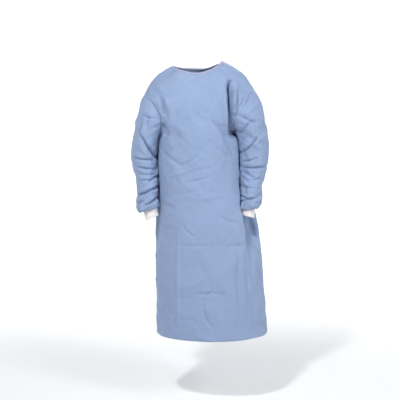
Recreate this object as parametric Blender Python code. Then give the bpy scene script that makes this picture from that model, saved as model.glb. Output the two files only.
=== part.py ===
"""A surgical gown as it is worn, hollow and open at the neck, hem, armholes and cuffs.

Metres, +Z up. The front faces -Y and the wearer's left is +X. The origin is the middle of the neck
opening, where the wearer's shoulders carry the gown. Every cloth piece is a wall of its own, cut as a
maker would cut it, and the pieces meet at their seams with a hair's breadth between them.
"""

import math
from collections import namedtuple

import bmesh
import bpy
import numpy as np
from mathutils.bvhtree import BVHTree

# Driving dimensions
WALL = 0.002  # cloth walls
SEAM_GAP = 0.0003  # between two pieces at a seam
FLAP_STEP = 0.007  # the inner flap lies this far under the outer one
FLAP_LEDGE = 0.16  # and comes up level over this share of the way to the side
BINDING_HEIGHT = 0.009
BINDING_WALL = 0.0032
BINDING_PROUD = 0.0006  # how far the binding stands out from the panels
CUFF_WALL = 0.0026
CUFF_RIBS = 28
RIB_HEIGHT = 0.0009
CUFF_CLEARANCE = 0.0004  # between the cuff and the sleeve's turned end
ARM_CLEARANCE = 0.0055  # between the body's cloth and a sleeve or a cuff
ARM_MARGIN = 0.007  # how much wider than the sleeve the dent it presses into the body is
TAPE_WIDTH = 0.024
TAPE_WALL = 0.0014

# How many steps the grids take
SKIRT_ROWS = 19
SKIRT_SPREAD = 0.85  # below 1, the skirt's rows lie closer towards the underarms
ARMHOLE_ROWS = 12
SHOULDER_ROWS = 4
HALF_FRONT_COLUMNS = 13
BACK_COLUMNS = 13
SLEEVE_ROWS = 22
CUFF_ROWS = 2

# Rise counts the levels of the body: 0 at the hem, 1 at the underarms, 2 at the shoulder tips, 3 at the neck.
UNDERARM, TIP, NECK = 1.0, 2.0, 3.0

HEM = -1.176  # the side seams' lower ends

# The middle of the front and of the back, and how each row runs from there to its ends: an arc of reach
# degrees, squarer where square is above 2 and nearer a straight line below it. Flap is the distance of
# each back flap's edge from the back's middle.
CentreRow = namedtuple("CentreRow", "rise x front front_z back back_z reach square flap")
CENTRE = (
    CentreRow(0.00, 0.068, -0.180, -1.180, 0.168, -1.172, 90, 2.10, 0.125),
    CentreRow(0.25, 0.055, -0.172, -0.961, 0.160, -0.957, 90, 2.10, 0.118),
    CentreRow(0.50, 0.040, -0.160, -0.742, 0.150, -0.740, 90, 2.10, 0.110),
    CentreRow(0.70, 0.018, -0.150, -0.566, 0.134, -0.566, 90, 2.10, 0.105),
    CentreRow(0.85, 0.006, -0.148, -0.434, 0.126, -0.434, 90, 2.15, 0.100),
    CentreRow(1.00, 0.002, -0.150, -0.304, 0.132, -0.304, 88, 2.15, 0.095),
    CentreRow(1.25, 0.001, -0.147, -0.257, 0.133, -0.249, 72, 2.05, 0.092),
    CentreRow(1.50, 0.000, -0.143, -0.212, 0.132, -0.196, 62, 1.90, 0.089),
    CentreRow(1.75, 0.000, -0.136, -0.171, 0.126, -0.150, 68, 1.72, 0.086),
    CentreRow(2.00, 0.000, -0.126, -0.135, 0.116, -0.108, 78, 1.60, 0.081),
    CentreRow(2.50, 0.000, -0.109, -0.089, 0.096, -0.060, 85, 1.72, 0.070),
    CentreRow(3.00, 0.000, -0.094, -0.056, 0.078, -0.022, 90, 2.00, 0.056),
)

# The side seams, from the hem up to the underarms: how far the cloth reaches to each side, and how far
# back the seam runs.
SideRow = namedtuple("SideRow", "rise right right_y left left_y")
SIDES = (
    SideRow(0.00, -0.176, 0.000, 0.311, 0.010),
    SideRow(0.16, -0.179, 0.000, 0.300, 0.014),
    SideRow(0.33, -0.182, 0.006, 0.288, 0.022),
    SideRow(0.45, -0.182, 0.016, 0.279, 0.034),
    SideRow(0.54, -0.182, 0.028, 0.268, 0.048),
    SideRow(0.62, -0.182, 0.042, 0.252, 0.058),
    SideRow(0.70, -0.182, 0.052, 0.222, 0.060),
    SideRow(0.79, -0.186, 0.064, 0.206, 0.066),
    SideRow(0.88, -0.185, 0.062, 0.198, 0.064),
    SideRow(0.95, -0.180, 0.044, 0.189, 0.046),
    SideRow(1.00, -0.160, -0.001, 0.165, -0.001),
)

# The shoulder seams, from the dropped shoulder tip up to the neck.
SeamPoint = namedtuple("SeamPoint", "share right right_z left left_z")
SHOULDERS = (
    SeamPoint(0.00, -0.228, -0.134, 0.250, -0.116),
    SeamPoint(0.25, -0.205, -0.090, 0.229, -0.082),
    SeamPoint(0.50, -0.178, -0.058, 0.203, -0.047),
    SeamPoint(0.75, -0.146, -0.034, 0.162, -0.018),
    SeamPoint(1.00, -0.113, -0.015, 0.113, 0.007),
)

# A sleeve's rings: the ring's point nearest the body, its outermost point, its reach to the front and
# back, and how far its front and back are drawn towards the body. The first ring is the armhole.
SleeveRow = namedtuple("SleeveRow", "inner_x inner_z outer_x outer_z front back bow")
LEFT_SLEEVE = (
    SleeveRow(0.165, -0.300, 0.250, -0.116, -0.094, 0.092, 0.036),
    SleeveRow(0.171, -0.322, 0.278, -0.170, -0.098, 0.094, 0.016),
    SleeveRow(0.176, -0.345, 0.299, -0.257, -0.093, 0.090, 0.004),
    SleeveRow(0.180, -0.375, 0.310, -0.326, -0.087, 0.086, 0.000),
    SleeveRow(0.183, -0.415, 0.312, -0.389, -0.083, 0.080, 0.000),
    SleeveRow(0.184, -0.460, 0.306, -0.441, -0.081, 0.071, 0.000),
    SleeveRow(0.185, -0.505, 0.294, -0.494, -0.084, 0.058, 0.000),
    SleeveRow(0.187, -0.550, 0.282, -0.546, -0.091, 0.038, 0.000),
    SleeveRow(0.185, -0.590, 0.284, -0.596, -0.098, 0.020, 0.000),
    SleeveRow(0.181, -0.618, 0.272, -0.615, -0.099, 0.006, 0.000),
    SleeveRow(0.183, -0.630, 0.258, -0.629, -0.093, -0.004, 0.000),
    SleeveRow(0.188, -0.619, 0.252, -0.617, -0.085, -0.011, 0.000),
)
RIGHT_SLEEVE = (
    SleeveRow(-0.160, -0.315, -0.228, -0.134, -0.094, 0.092, 0.034),
    SleeveRow(-0.165, -0.336, -0.251, -0.187, -0.098, 0.094, 0.015),
    SleeveRow(-0.168, -0.357, -0.268, -0.257, -0.093, 0.090, 0.004),
    SleeveRow(-0.170, -0.386, -0.279, -0.325, -0.087, 0.086, 0.000),
    SleeveRow(-0.169, -0.420, -0.286, -0.389, -0.083, 0.080, 0.000),
    SleeveRow(-0.165, -0.462, -0.282, -0.441, -0.081, 0.071, 0.000),
    SleeveRow(-0.163, -0.505, -0.268, -0.494, -0.084, 0.058, 0.000),
    SleeveRow(-0.166, -0.546, -0.259, -0.546, -0.091, 0.038, 0.000),
    SleeveRow(-0.168, -0.590, -0.261, -0.598, -0.098, 0.020, 0.000),
    SleeveRow(-0.164, -0.624, -0.256, -0.638, -0.099, 0.006, 0.000),
    SleeveRow(-0.166, -0.638, -0.242, -0.653, -0.094, -0.004, 0.000),
    SleeveRow(-0.172, -0.628, -0.235, -0.642, -0.086, -0.012, 0.000),
)

# A cuff's lower ring, as its innermost and outermost points and its reach to the front and back.
CuffEnd = namedtuple("CuffEnd", "inner_x inner_z outer_x outer_z front back")
LEFT_CUFF_END = CuffEnd(0.187, -0.652, 0.250, -0.667, -0.089, -0.017)
RIGHT_CUFF_END = CuffEnd(-0.164, -0.656, -0.221, -0.681, -0.090, -0.020)

# Folds, as seen square on to the front or the back: two ends, how far the middle bows aside, the half
# width and the depth. A depth above zero is a trough, and below zero a ridge.
Fold = namedtuple("Fold", "x_from z_from x_to z_to bow width depth")
FRONT_FOLDS = (
    Fold(0.135, -0.095, 0.141, -0.300, 0.006, 0.026, 0.012),
    Fold(-0.119, -0.120, -0.128, -0.310, -0.012, 0.018, 0.007),
    Fold(-0.150, -0.368, -0.060, -0.435, 0.000, 0.028, 0.008),
    Fold(-0.070, -0.435, 0.020, -0.380, 0.000, 0.028, 0.008),
    Fold(0.050, -0.240, 0.160, -0.400, -0.010, 0.026, 0.008),
    Fold(-0.060, -0.540, 0.080, -0.500, 0.000, 0.028, 0.007),
    Fold(-0.078, -0.700, -0.080, -1.240, 0.000, 0.026, -0.006),
    Fold(0.186, -0.700, 0.196, -1.240, 0.000, 0.026, -0.008),
    Fold(0.236, -0.760, 0.256, -1.260, 0.000, 0.024, 0.007),
)
BACK_FOLDS = (
    Fold(0.128, -0.120, 0.134, -0.290, 0.006, 0.012, 0.012),
    Fold(-0.124, -0.140, -0.128, -0.300, -0.006, 0.012, 0.012),
    Fold(-0.110, -0.480, 0.080, -0.400, 0.010, 0.016, 0.007),
    Fold(-0.110, -0.500, 0.110, -0.500, 0.008, 0.016, 0.008),
    Fold(-0.110, -0.530, 0.100, -0.610, 0.010, 0.016, 0.006),
    Fold(0.020, -0.560, 0.030, -1.250, 0.000, 0.026, -0.009),
    Fold(0.086, -0.600, 0.104, -1.250, 0.000, 0.026, 0.011),
    Fold(0.150, -0.640, 0.186, -1.250, 0.000, 0.024, -0.009),
    Fold(-0.046, -0.620, -0.050, -1.250, 0.000, 0.024, 0.009),
    Fold(0.210, -0.700, 0.250, -1.250, 0.000, 0.020, 0.008),
)
LEFT_SLEEVE_FRONT_FOLDS = (
    Fold(0.188, -0.372, 0.240, -0.312, 0.000, 0.016, 0.008),
    Fold(0.196, -0.452, 0.305, -0.440, 0.004, 0.017, 0.010),
    Fold(0.184, -0.562, 0.262, -0.572, 0.012, 0.016, 0.009),
    Fold(0.246, -0.612, 0.292, -0.590, 0.000, 0.015, 0.006),
)
LEFT_SLEEVE_BACK_FOLDS = (
    Fold(0.190, -0.330, 0.270, -0.230, 0.010, 0.020, 0.009),
    Fold(0.190, -0.420, 0.290, -0.385, 0.006, 0.018, 0.008),
    Fold(0.190, -0.500, 0.290, -0.470, 0.004, 0.017, 0.008),
    Fold(0.190, -0.560, 0.270, -0.590, 0.006, 0.016, 0.008),
)
RIGHT_SLEEVE_FRONT_FOLDS = (
    Fold(-0.242, -0.225, -0.246, -0.330, 0.000, 0.017, 0.009),
    Fold(-0.246, -0.300, -0.170, -0.420, 0.006, 0.017, 0.012),
    Fold(-0.276, -0.450, -0.190, -0.440, 0.004, 0.017, 0.006),
    Fold(-0.262, -0.566, -0.166, -0.522, 0.004, 0.016, 0.011),
    Fold(-0.222, -0.612, -0.172, -0.580, 0.004, 0.015, 0.007),
)
RIGHT_SLEEVE_BACK_FOLDS = (
    Fold(-0.180, -0.340, -0.250, -0.250, 0.010, 0.020, 0.009),
    Fold(-0.180, -0.420, -0.270, -0.370, 0.006, 0.018, 0.008),
    Fold(-0.176, -0.500, -0.264, -0.452, 0.006, 0.017, 0.008),
    Fold(-0.176, -0.560, -0.256, -0.590, 0.006, 0.016, 0.008),
)
FOLD_FADE = 0.12  # folds die out over this share of a panel beside its seams

# The waist ties and the neck tab lie on the back. Turns are degrees from straight back round towards the
# wearer's right.
BACK_AXIS = 0.0
TIE_HEIGHT = -0.500
TIE_LIFT = 0.0005  # above the nearest cloth
TIE_FLAP_TURN = 26
TIE_SIDE_TURN = 66
TIE_GAP = 0.0004
TAPE_SLOPE = 0.35  # beside a step a tape comes down at this slope
TAPE_REST = 0.003  # after lying on for this far
KNOT_TURN = 51
KNOT_HALF_WIDTH = 0.018
KNOT_HALF_HEIGHT = 0.015
KNOT_HALF_DEPTH = 0.008
TapeTail = namedtuple("TapeTail", "name start end length lift")
TAILS = (
    TapeTail("tie_tail_short", -0.0068, -0.030, 0.235, 0.004),
    TapeTail("tie_tail_long", 0.0068, 0.034, 0.285, 0.005),
)
TAB_FROM, TAB_TO = 12, 58
TAB_HEIGHT = -0.052
TAB_WIDTH = 0.024
TAB_WALL = 0.0016

CLOTH_BLUE = (0.33, 0.46, 0.72, 1.0)
BINDING_BLUE = (0.52, 0.58, 0.82, 1.0)
CUFF_WHITE = (0.88, 0.87, 0.88, 1.0)
TAPE_BLUE = (0.36, 0.49, 0.75, 1.0)


def smooth_through(rows, key, column, at):
    """The column's value at one place along the key, on a smooth curve through the table's rows."""
    keys = [getattr(row, key) for row in rows]
    values = [getattr(row, column) for row in rows]
    last = len(rows) - 1
    i = max(0, min(last - 1, sum(k <= at for k in keys) - 1))

    def slope(n):
        before, after = max(0, n - 1), min(last, n + 1)
        return (values[after] - values[before]) / (keys[after] - keys[before])

    span = keys[i + 1] - keys[i]
    u = min(1.0, max(0.0, (at - keys[i]) / span))
    start, end = values[i], values[i + 1]
    lead, trail = slope(i) * span, slope(i + 1) * span
    cubic = 2 * start - 2 * end + lead + trail
    square = -3 * start + 3 * end - 2 * lead - trail
    return ((cubic * u + square) * u + lead) * u + start


def eased(value):
    """0 up to zero, 1 from one on, and a smooth step between."""
    clipped = np.clip(value, 0.0, 1.0)
    return clipped * clipped * (3 - 2 * clipped)


def unit(vectors):
    return vectors / np.maximum(np.linalg.norm(vectors, axis=-1, keepdims=True), 1e-12)


def sleeve_ring_point(rows, along, angle):
    """A point of a sleeve: along counts the table's rows, and angle turns from outside round the front."""
    row = {}
    for column in SleeveRow._fields:
        row[column] = interpolate_rows(rows, column, along)
    half_x, half_z = (row["outer_x"] - row["inner_x"]) / 2, (row["outer_z"] - row["inner_z"]) / 2
    middle_y, half_y = (row["front"] + row["back"]) / 2, (row["back"] - row["front"]) / 2
    side = math.copysign(1.0, row["outer_x"])
    x = (row["inner_x"] + row["outer_x"]) / 2 + half_x * math.cos(angle)
    x -= side * row["bow"] * math.sin(angle) ** 2
    y = middle_y - half_y * math.sin(angle)
    z = (row["inner_z"] + row["outer_z"]) / 2 + half_z * math.cos(angle)
    return np.array((x, y, z))


def interpolate_rows(rows, column, along):
    """A table's column at a fractional row number, on a smooth curve."""
    values = [getattr(row, column) for row in rows]
    last = len(rows) - 1
    i = max(0, min(last - 1, int(along)))
    before, after = values[max(0, i - 1)], values[min(last, i + 2)]
    start, end = values[i], values[i + 1]
    u = along - i
    lead, trail = (end - before) / 2, (after - start) / 2
    cubic = 2 * start - 2 * end + lead + trail
    square = -3 * start + 3 * end - 2 * lead - trail
    return ((cubic * u + square) * u + lead) * u + start


def seam_end(rise, side, facing):
    """Where a body row ends: on the side seam, the armhole or the shoulder seam."""
    name = "left" if side > 0 else "right"
    if rise <= UNDERARM:
        sleeve = LEFT_SLEEVE if side > 0 else RIGHT_SLEEVE
        z = HEM + (sleeve[0].inner_z - HEM) * rise / UNDERARM
        x = smooth_through(SIDES, "rise", name, rise)
        y = smooth_through(SIDES, "rise", name + "_y", rise)
        return np.array((x, y, z))
    if rise <= TIP:
        sleeve = LEFT_SLEEVE if side > 0 else RIGHT_SLEEVE
        angle = math.pi * (TIP - rise) / (TIP - UNDERARM)
        return sleeve_ring_point(sleeve, 0.0, -facing * angle)
    share = (rise - TIP) / (NECK - TIP)
    x = smooth_through(SHOULDERS, "share", name, share)
    z = smooth_through(SHOULDERS, "share", name + "_z", share)
    # The armhole's top lies midway between the first ring's front and back.
    first = LEFT_SLEEVE[0]
    return np.array((x, (first.front + first.back) / 2, z))


def half_row(rise, side, facing):
    """Half a row of the body, from the middle to one end: 49 points, and how far along it each lies."""
    face = "front" if facing < 0 else "back"
    centre = np.array([smooth_through(CENTRE, "rise", column, rise) for column in ("x", face, face + "_z")])
    reach = math.radians(smooth_through(CENTRE, "rise", "reach", rise))
    power = 2 / smooth_through(CENTRE, "rise", "square", rise)
    arc = np.linspace(0.0, reach, 49)
    sideways = np.sin(arc) ** power / math.sin(reach) ** power
    inward = (1 - np.cos(arc).clip(0.0) ** power) / (1 - max(0.0, math.cos(reach)) ** power)
    share = np.stack([sideways, inward, (inward + sideways**2) / 2], axis=1)
    points = centre + (seam_end(rise, side, facing) - centre) * share
    points = np.array([clear_of_sleeves(point) for point in points])
    steps = np.linalg.norm(np.diff(points, axis=0), axis=1)
    return points, np.concatenate([[0.0], np.cumsum(steps)])


def body_row(rise, places, facing):
    """Points of the body at one rise. Places run from -1 at the right seam to 1 at the left, evenly along
    the cloth on each side of the middle. Facing is -1 for the front and 1 for the back."""
    row = np.empty((len(places), 3))
    for side in (-1.0, 1.0):
        points, along = half_row(rise, side, facing)
        chosen = (places < 0) if side < 0 else (places >= 0)
        wanted = np.abs(places[chosen]) * along[-1]
        row[chosen] = np.stack([np.interp(wanted, along, points[:, axis]) for axis in range(3)], axis=1)
    return row


def clear_of_sleeves(point):
    """Presses a body point back and inwards where a hanging sleeve lies, as the arm presses the cloth."""
    for rows, side in ((LEFT_SLEEVE, 1.0), (RIGHT_SLEEVE, -1.0)):
        heights = sorted(rows[1:10], key=lambda row: row.inner_z)
        below, above = heights[0].inner_z, heights[-1].inner_z
        fade = float(eased((rows[0].inner_z - point[2]) / 0.03) * eased((point[2] - below + 0.24) / 0.20))
        if fade <= 0:
            continue
        z = max(below, min(above, point[2]))
        inner, outer, front, back = (
            smooth_through(heights, "inner_z", column, z) for column in ("inner_x", "outer_x", "front", "back")
        )
        middle = np.array(((inner + outer) / 2, (front + back) / 2))
        half = np.array((abs(outer - inner) / 2, (back - front) / 2)) + ARM_MARGIN
        aside = np.array((-0.8 * side, 0.6)) / half
        offset = (point[:2] - middle) / half
        # The step along aside that brings the point out of the grown sleeve's ellipse.
        a, b, c = aside @ aside, offset @ aside, offset @ offset - 1
        if c < 0:
            step = (-b + math.sqrt(b * b - a * c)) / a
            point = point + np.array((-0.8 * side, 0.6, 0.0)) * step * fade
    return point


Surface = namedtuple("Surface", "tree points faces outward")


def surface_of(grids):
    """The outsides of several pieces, to search. Each grid is its points, their normals, and whether its
    columns run right round."""
    points, faces, outward = [], [], []
    for outer, normals, closed in grids:
        rows, columns = outer.shape[:2]
        first = len(points)
        points.extend(outer.reshape(-1, 3))
        for i in range(rows - 1):
            for j in range(columns if closed else columns - 1):
                k = (j + 1) % columns
                a, b, c, d = (first + at for at in (i * columns + j, i * columns + k, (i + 1) * columns + k, (i + 1) * columns + j))
                faces += [(a, b, c), (a, c, d)]
                outward += [normals[i, j] + normals[i + 1, k]] * 2
    return Surface(BVHTree.FromPolygons([tuple(point) for point in points], faces), np.array(points), faces, outward)


def from_segment(point, start, end):
    run = end - start
    along = np.clip((point - start) @ run / (run @ run), 0.0, 1.0)
    return float(np.linalg.norm(start + run * along - point))


def nearest_outside(surface, point, seams):
    """The surface's nearest place and the direction out from it, unless that place is on a seam."""
    place, normal, face, _ = surface.tree.find_nearest(tuple(point), 0.06)
    if place is None:
        return None
    place, normal = np.array(place), np.array(normal)
    # From an open edge, the point lies beside the surface and not over it.
    offset = point - place
    if np.linalg.norm(offset) > 0.002 and abs(offset @ normal) < 0.8 * np.linalg.norm(offset):
        return None
    if any(from_segment(place, start, end) < 0.0005 for start, end in seams if np.linalg.norm(start - place) < 0.12):
        return None
    return place, normal if normal @ surface.outward[face] > 0 else -normal, surface.faces[face]


def keep_clear(points, arms, armholes, wrists):
    """Moves a panel's points out of the sleeves and cuffs, by less and less towards the armhole seams."""
    seams = [pair for ring in (*armholes, *wrists) for pair in zip(ring, np.roll(ring, -1, axis=0))]
    spots = np.concatenate(armholes)
    columns = points.shape[1]

    def room(place):
        away = float(np.min(np.linalg.norm(spots - place, axis=1)))
        return 0.0 if away < 0.0005 else 0.0010 + ARM_CLEARANCE * float(eased(away / 0.03))

    for at in np.ndindex(points.shape[:2]):
        found, needed = nearest_outside(arms, points[at], seams), room(points[at])
        if found and needed and (points[at] - found[0]) @ found[1] < needed:
            points[at] = found[0] + found[1] * needed
    # Where a sleeve's own points come through between the panel's, the panel's face there gives way.
    sides = [edge for j in (0, -1) for edge in zip(points[:-1, j], points[1:, j])]
    for _ in range(4):
        panel = surface_of([(points, grid_normals(points, False), False)])
        moves = np.zeros_like(points)
        for spot in arms.points:
            found = nearest_outside(panel, spot, sides)
            short = room(spot) - float((spot - found[0]) @ found[1]) if found else 0.0
            for corner in found[2] if short > 0 else ():
                at = divmod(corner, columns)
                if 0 < at[1] < columns - 1 and short > np.linalg.norm(moves[at]):
                    moves[at] = -found[1] * short
        points += moves
    return points


def fold_depth(folds, x, z):
    """How far the folds press the cloth in, at points seen square on."""
    total = np.zeros_like(x)
    for fold in folds:
        run_x, run_z = fold.x_to - fold.x_from, fold.z_to - fold.z_from
        length = math.hypot(run_x, run_z)
        along = ((x - fold.x_from) * run_x + (z - fold.z_from) * run_z) / length**2
        across = ((x - fold.x_from) * run_z - (z - fold.z_from) * run_x) / length
        arch = np.clip(4 * along * (1 - along), 0.0, 1.0)
        total += fold.depth * np.sqrt(arch) * np.exp(-(((across - fold.bow * arch) / fold.width) ** 2))
    return total


def grid_normals(points, closed):
    """Unit normals of a grid of points, outwards. A closed grid's columns run right round."""
    if closed:
        wrapped = np.concatenate([points[:, -1:], points, points[:, :1]], axis=1)
        around = (wrapped[:, 2:] - wrapped[:, :-2]) / 2
    else:
        around = np.gradient(points, axis=1)
    up = np.gradient(points, axis=0)
    return unit(np.cross(around, up))


Piece = namedtuple("Piece", "name outer normals wall closed colour seams")


def body_levels():
    """The rises of the body's rows: even steps up to the underarm, round the armhole and up the shoulder."""
    skirt = np.linspace(0.0, UNDERARM, SKIRT_ROWS + 1) ** SKIRT_SPREAD
    armhole = np.linspace(UNDERARM, TIP, ARMHOLE_ROWS + 1)[1:]
    shoulder = np.linspace(TIP, NECK, SHOULDER_ROWS + 1)[1:]
    return np.concatenate([skirt, armhole, shoulder])


def body_grid(places, facing):
    """The body's points at every level. Places has a row for each level."""
    return np.array([body_row(rise, row, facing) for rise, row in zip(body_levels(), places)])


def folded(points, normals, depth):
    return points - normals * depth[..., None]


def front_panel(worn):
    places = np.tile(np.linspace(-1.0, 1.0, 2 * HALF_FRONT_COLUMNS + 1), (len(body_levels()), 1))
    points = body_grid(places, -1)
    depth = fold_depth(FRONT_FOLDS, points[..., 0], points[..., 2]) * eased((1 - np.abs(places)) / FOLD_FADE)
    points = keep_clear(folded(points, grid_normals(points, False), depth), *worn)
    return Piece("front_panel", points, grid_normals(points, False), WALL, False, CLOTH_BLUE, (True, True))


def flap_places(outer):
    """Where the outer or the inner flap's columns lie, at every level, from the wearer's left to the right."""
    rows = []
    for rise in body_levels():
        reach = smooth_through(CENTRE, "rise", "flap", rise)
        edge = reach / half_row(rise, -1.0 if outer else 1.0, 1)[1][-1]
        rows.append(np.linspace(1.0, -edge, BACK_COLUMNS + 1) if outer else np.linspace(edge, -1.0, BACK_COLUMNS + 1))
    return np.array(rows)


def back_panel(name, outer, worn):
    places = flap_places(outer)
    points = body_grid(places, 1)
    depth = fold_depth(BACK_FOLDS, points[..., 0], points[..., 2]) * eased((1 - np.abs(places)) / FOLD_FADE)
    if not outer:
        past_edge = flap_places(True)[:, -1:] - places
        depth = depth + FLAP_STEP * eased(1.2 - past_edge / FLAP_LEDGE)
    points = keep_clear(folded(points, grid_normals(points, False), depth), *worn)
    seams = (bool(outer), not outer)
    return Piece(name, points, grid_normals(points, False), WALL, False, CLOTH_BLUE, seams)


def sleeve_angles(side):
    """Ring angles that meet the body's rows one for one, turning so that the outside faces out."""
    steps = np.linspace(0.0, 2 * math.pi, 2 * ARMHOLE_ROWS + 1)[:-1]
    return -steps if side > 0 else steps


def sleeve(name, rows, side, front_folds, back_folds):
    alongs = np.linspace(len(rows) - 1.0, 0.0, SLEEVE_ROWS + 1)
    angles = sleeve_angles(side)
    points = np.array([[sleeve_ring_point(rows, along, angle) for angle in angles] for along in alongs])
    normals = grid_normals(points, True)
    fade = (eased(alongs / 0.8) * eased((len(rows) - 2.4 - alongs) / 0.8))[:, None]
    front = eased(0.5 - normals[..., 1] * 1.4) * fold_depth(front_folds, points[..., 0], points[..., 2])
    back = eased(0.5 + normals[..., 1] * 1.4) * fold_depth(back_folds, points[..., 0], points[..., 2])
    gathers = eased((alongs - 7.6) / 1.6) * eased((len(rows) - 1.2 - alongs) / 1.2)
    waves = 0.0022 * gathers[:, None] * np.sin(7 * angles + 0.9 * np.sin(3 * angles))[None, :]
    points = folded(points, normals, (front + back) * fade + waves)
    return Piece(name, points, grid_normals(points, True), WALL, True, CLOTH_BLUE, (False, False))


def cuff(name, rows, end, side):
    """A ribbed knit tube from inside the sleeve's turned end to the wrist."""
    top = rows[-1]
    shrink = CUFF_CLEARANCE + WALL * 0.25
    steps = 2 * CUFF_RIBS
    turn = -2 * math.pi * np.arange(steps) / steps * side
    rib = np.where(np.arange(steps) % 2 == 0, 0.0, RIB_HEIGHT)
    rings = []
    for share in np.linspace(1.0, 0.0, CUFF_ROWS + 1):
        ring = {}
        for column in CuffEnd._fields:
            start, stop = getattr(top, column), getattr(end, column)
            ring[column] = start + (stop - start) * share
        half_x = (ring["outer_x"] - ring["inner_x"]) / 2 - side * shrink
        half_z = (ring["outer_z"] - ring["inner_z"]) / 2
        half_y = (ring["back"] - ring["front"]) / 2 - shrink
        scale = 1 - rib / half_y
        x = (ring["inner_x"] + ring["outer_x"]) / 2 + half_x * np.cos(turn) * scale
        y = (ring["front"] + ring["back"]) / 2 - half_y * np.sin(turn) * scale
        z = (ring["inner_z"] + ring["outer_z"]) / 2 + half_z * np.cos(turn) * scale
        rings.append(np.stack([x, y, z], axis=1))
    outer = np.array(rings)
    middle = outer.mean(axis=1, keepdims=True)
    crest = outer[:, ::2]
    plain = np.repeat((crest + np.roll(crest, -1, axis=1)) / 2, 2, axis=1)
    plain[:, ::2] = crest
    radial = unit(outer - middle)
    inner = plain - radial * CUFF_WALL
    return name, outer, inner, True, CUFF_WHITE


def share_seams(pieces):
    """Gives pieces that meet at a seam one direction there, so that their edges lie face to face. Where a
    sleeve doubles back under the arm, the sleeve and the body keep their own."""
    found = {}
    for number, piece in enumerate(pieces):
        for spot in edge_spots(piece):
            key = tuple(np.round(piece.outer[spot], 3))
            found.setdefault(key, []).append((number, piece.closed, piece.normals[spot].copy()))
    for number, piece in enumerate(pieces):
        for spot in edge_spots(piece):
            own = piece.normals[spot].copy()
            key = tuple(np.round(piece.outer[spot], 3))
            total = own.copy()
            for other, closed, normal in found[key]:
                if other != number:
                    agree = 1.0 if closed == piece.closed else float(eased((own @ normal + 0.45) / 0.3))
                    total = total + normal * agree
            piece.normals[spot] = unit(total)


def edge_spots(piece):
    """The grid places on a piece's edges."""
    rows, columns = piece.outer.shape[:2]
    for i in range(rows):
        for j in range(columns):
            if i in (0, rows - 1) or (not piece.closed and j in (0, columns - 1)):
                yield i, j


def trimmed(piece):
    """The outer and inner points of a piece's wall, with its sewn edges drawn back from the seams."""
    inner = piece.outer - piece.normals * piece.wall
    walls = [piece.outer.copy(), inner]
    for points in walls:
        if piece.closed:
            points[-1] += unit(points[-2].mean(axis=0) - points[-1].mean(axis=0)) * SEAM_GAP * 2
        for sewn, edge, beside in zip(piece.seams, (0, -1), (1, -2)):
            if sewn:
                points[:, edge] += unit(points[:, beside] - points[:, edge]) * SEAM_GAP * 0.7
    return walls


def add_wall(name, outer, inner, closed, colour):
    """A closed solid between two grids of points, as an object of its own."""
    rows, columns = outer.shape[:2]
    shell = bmesh.new()
    faces = [[[shell.verts.new(point) for point in row] for row in grid] for grid in (outer, inner)]
    out, within = faces
    spans = columns if closed else columns - 1

    def quad(a, b, c, d):
        shell.faces.new((a, b, c, d))

    for i in range(rows - 1):
        for j in range(spans):
            k = (j + 1) % columns
            quad(out[i][j], out[i][k], out[i + 1][k], out[i + 1][j])
            quad(within[i][j], within[i + 1][j], within[i + 1][k], within[i][k])
    for j in range(spans):
        k = (j + 1) % columns
        quad(out[0][j], within[0][j], within[0][k], out[0][k])
        quad(out[-1][j], out[-1][k], within[-1][k], within[-1][j])
    if not closed:
        for i in range(rows - 1):
            quad(out[i][0], out[i + 1][0], within[i + 1][0], within[i][0])
            quad(out[i][-1], within[i][-1], within[i + 1][-1], out[i + 1][-1])
    return add_object(name, shell, colour)


def add_object(name, shell, colour):
    bmesh.ops.recalc_face_normals(shell, faces=shell.faces)
    mesh = bpy.data.meshes.new(name)
    shell.to_mesh(mesh)
    shell.free()
    mesh.shade_smooth()
    mesh.set_sharp_from_angle(angle=math.radians(50))
    mesh.materials.append(cloth_material(name, colour))
    made = bpy.data.objects.new(name, mesh)
    bpy.data.collections["surgical_gown"].objects.link(made)
    return made


def cloth_material(name, colour):
    material = bpy.data.materials.new(name)
    material.use_nodes = True
    shader = material.node_tree.nodes["Principled BSDF"]
    shader.inputs["Base Color"].default_value = colour
    shader.inputs["Roughness"].default_value = 0.85
    shader.inputs["Metallic"].default_value = 0.0
    return material


def add_neck_binding(outer_flap, front, inner_flap):
    """One strip round the neck, from the outer flap's edge over the front to the inner flap's edge."""
    edges, ups, normals = [], [], []
    for piece in (outer_flap, front, inner_flap):
        # Pieces meet at the shoulders, so each but the first leaves out the first point of its edge.
        for j in range(piece.outer.shape[1])[::-1][1 if edges else 0 :]:
            edges.append(piece.outer[-1, j])
            ups.append(piece.outer[-1, j] - piece.outer[-2, j])
            normals.append(piece.normals[-1, j])
    edges, ups, normals = np.array(edges), unit(np.array(ups)), np.array(normals)
    # The directions turn gently across the shoulder seams.
    for _ in range(3):
        ups[1:-1] = unit(ups[:-2] + 2 * ups[1:-1] + ups[2:])
        normals[1:-1] = unit(normals[:-2] + 2 * normals[1:-1] + normals[2:])
    low = edges + ups * SEAM_GAP + normals * BINDING_PROUD
    high = edges + ups * (SEAM_GAP + BINDING_HEIGHT) + normals * BINDING_PROUD
    outer = np.array([low, high])
    inner = outer - normals[None] * BINDING_WALL
    add_wall("neck_binding", outer, inner, False, BINDING_BLUE)


def around_back(height, turn):
    """A point on the body's axis, and the level direction out from it. Turn is 0 straight back and 90 at
    the wearer's right."""
    angle = math.radians(turn)
    return np.array((BACK_AXIS, 0.0, height)), np.array((-math.sin(angle), math.cos(angle), 0.0))


def cloth_reach(back, height, turn):
    """How far from the axis the back's outside lies."""
    axis, out = around_back(height, turn)
    place, *_ = back.tree.ray_cast(tuple(axis + out), tuple(-out), 1.0)
    return float((np.array(place) - axis) @ out)


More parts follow.
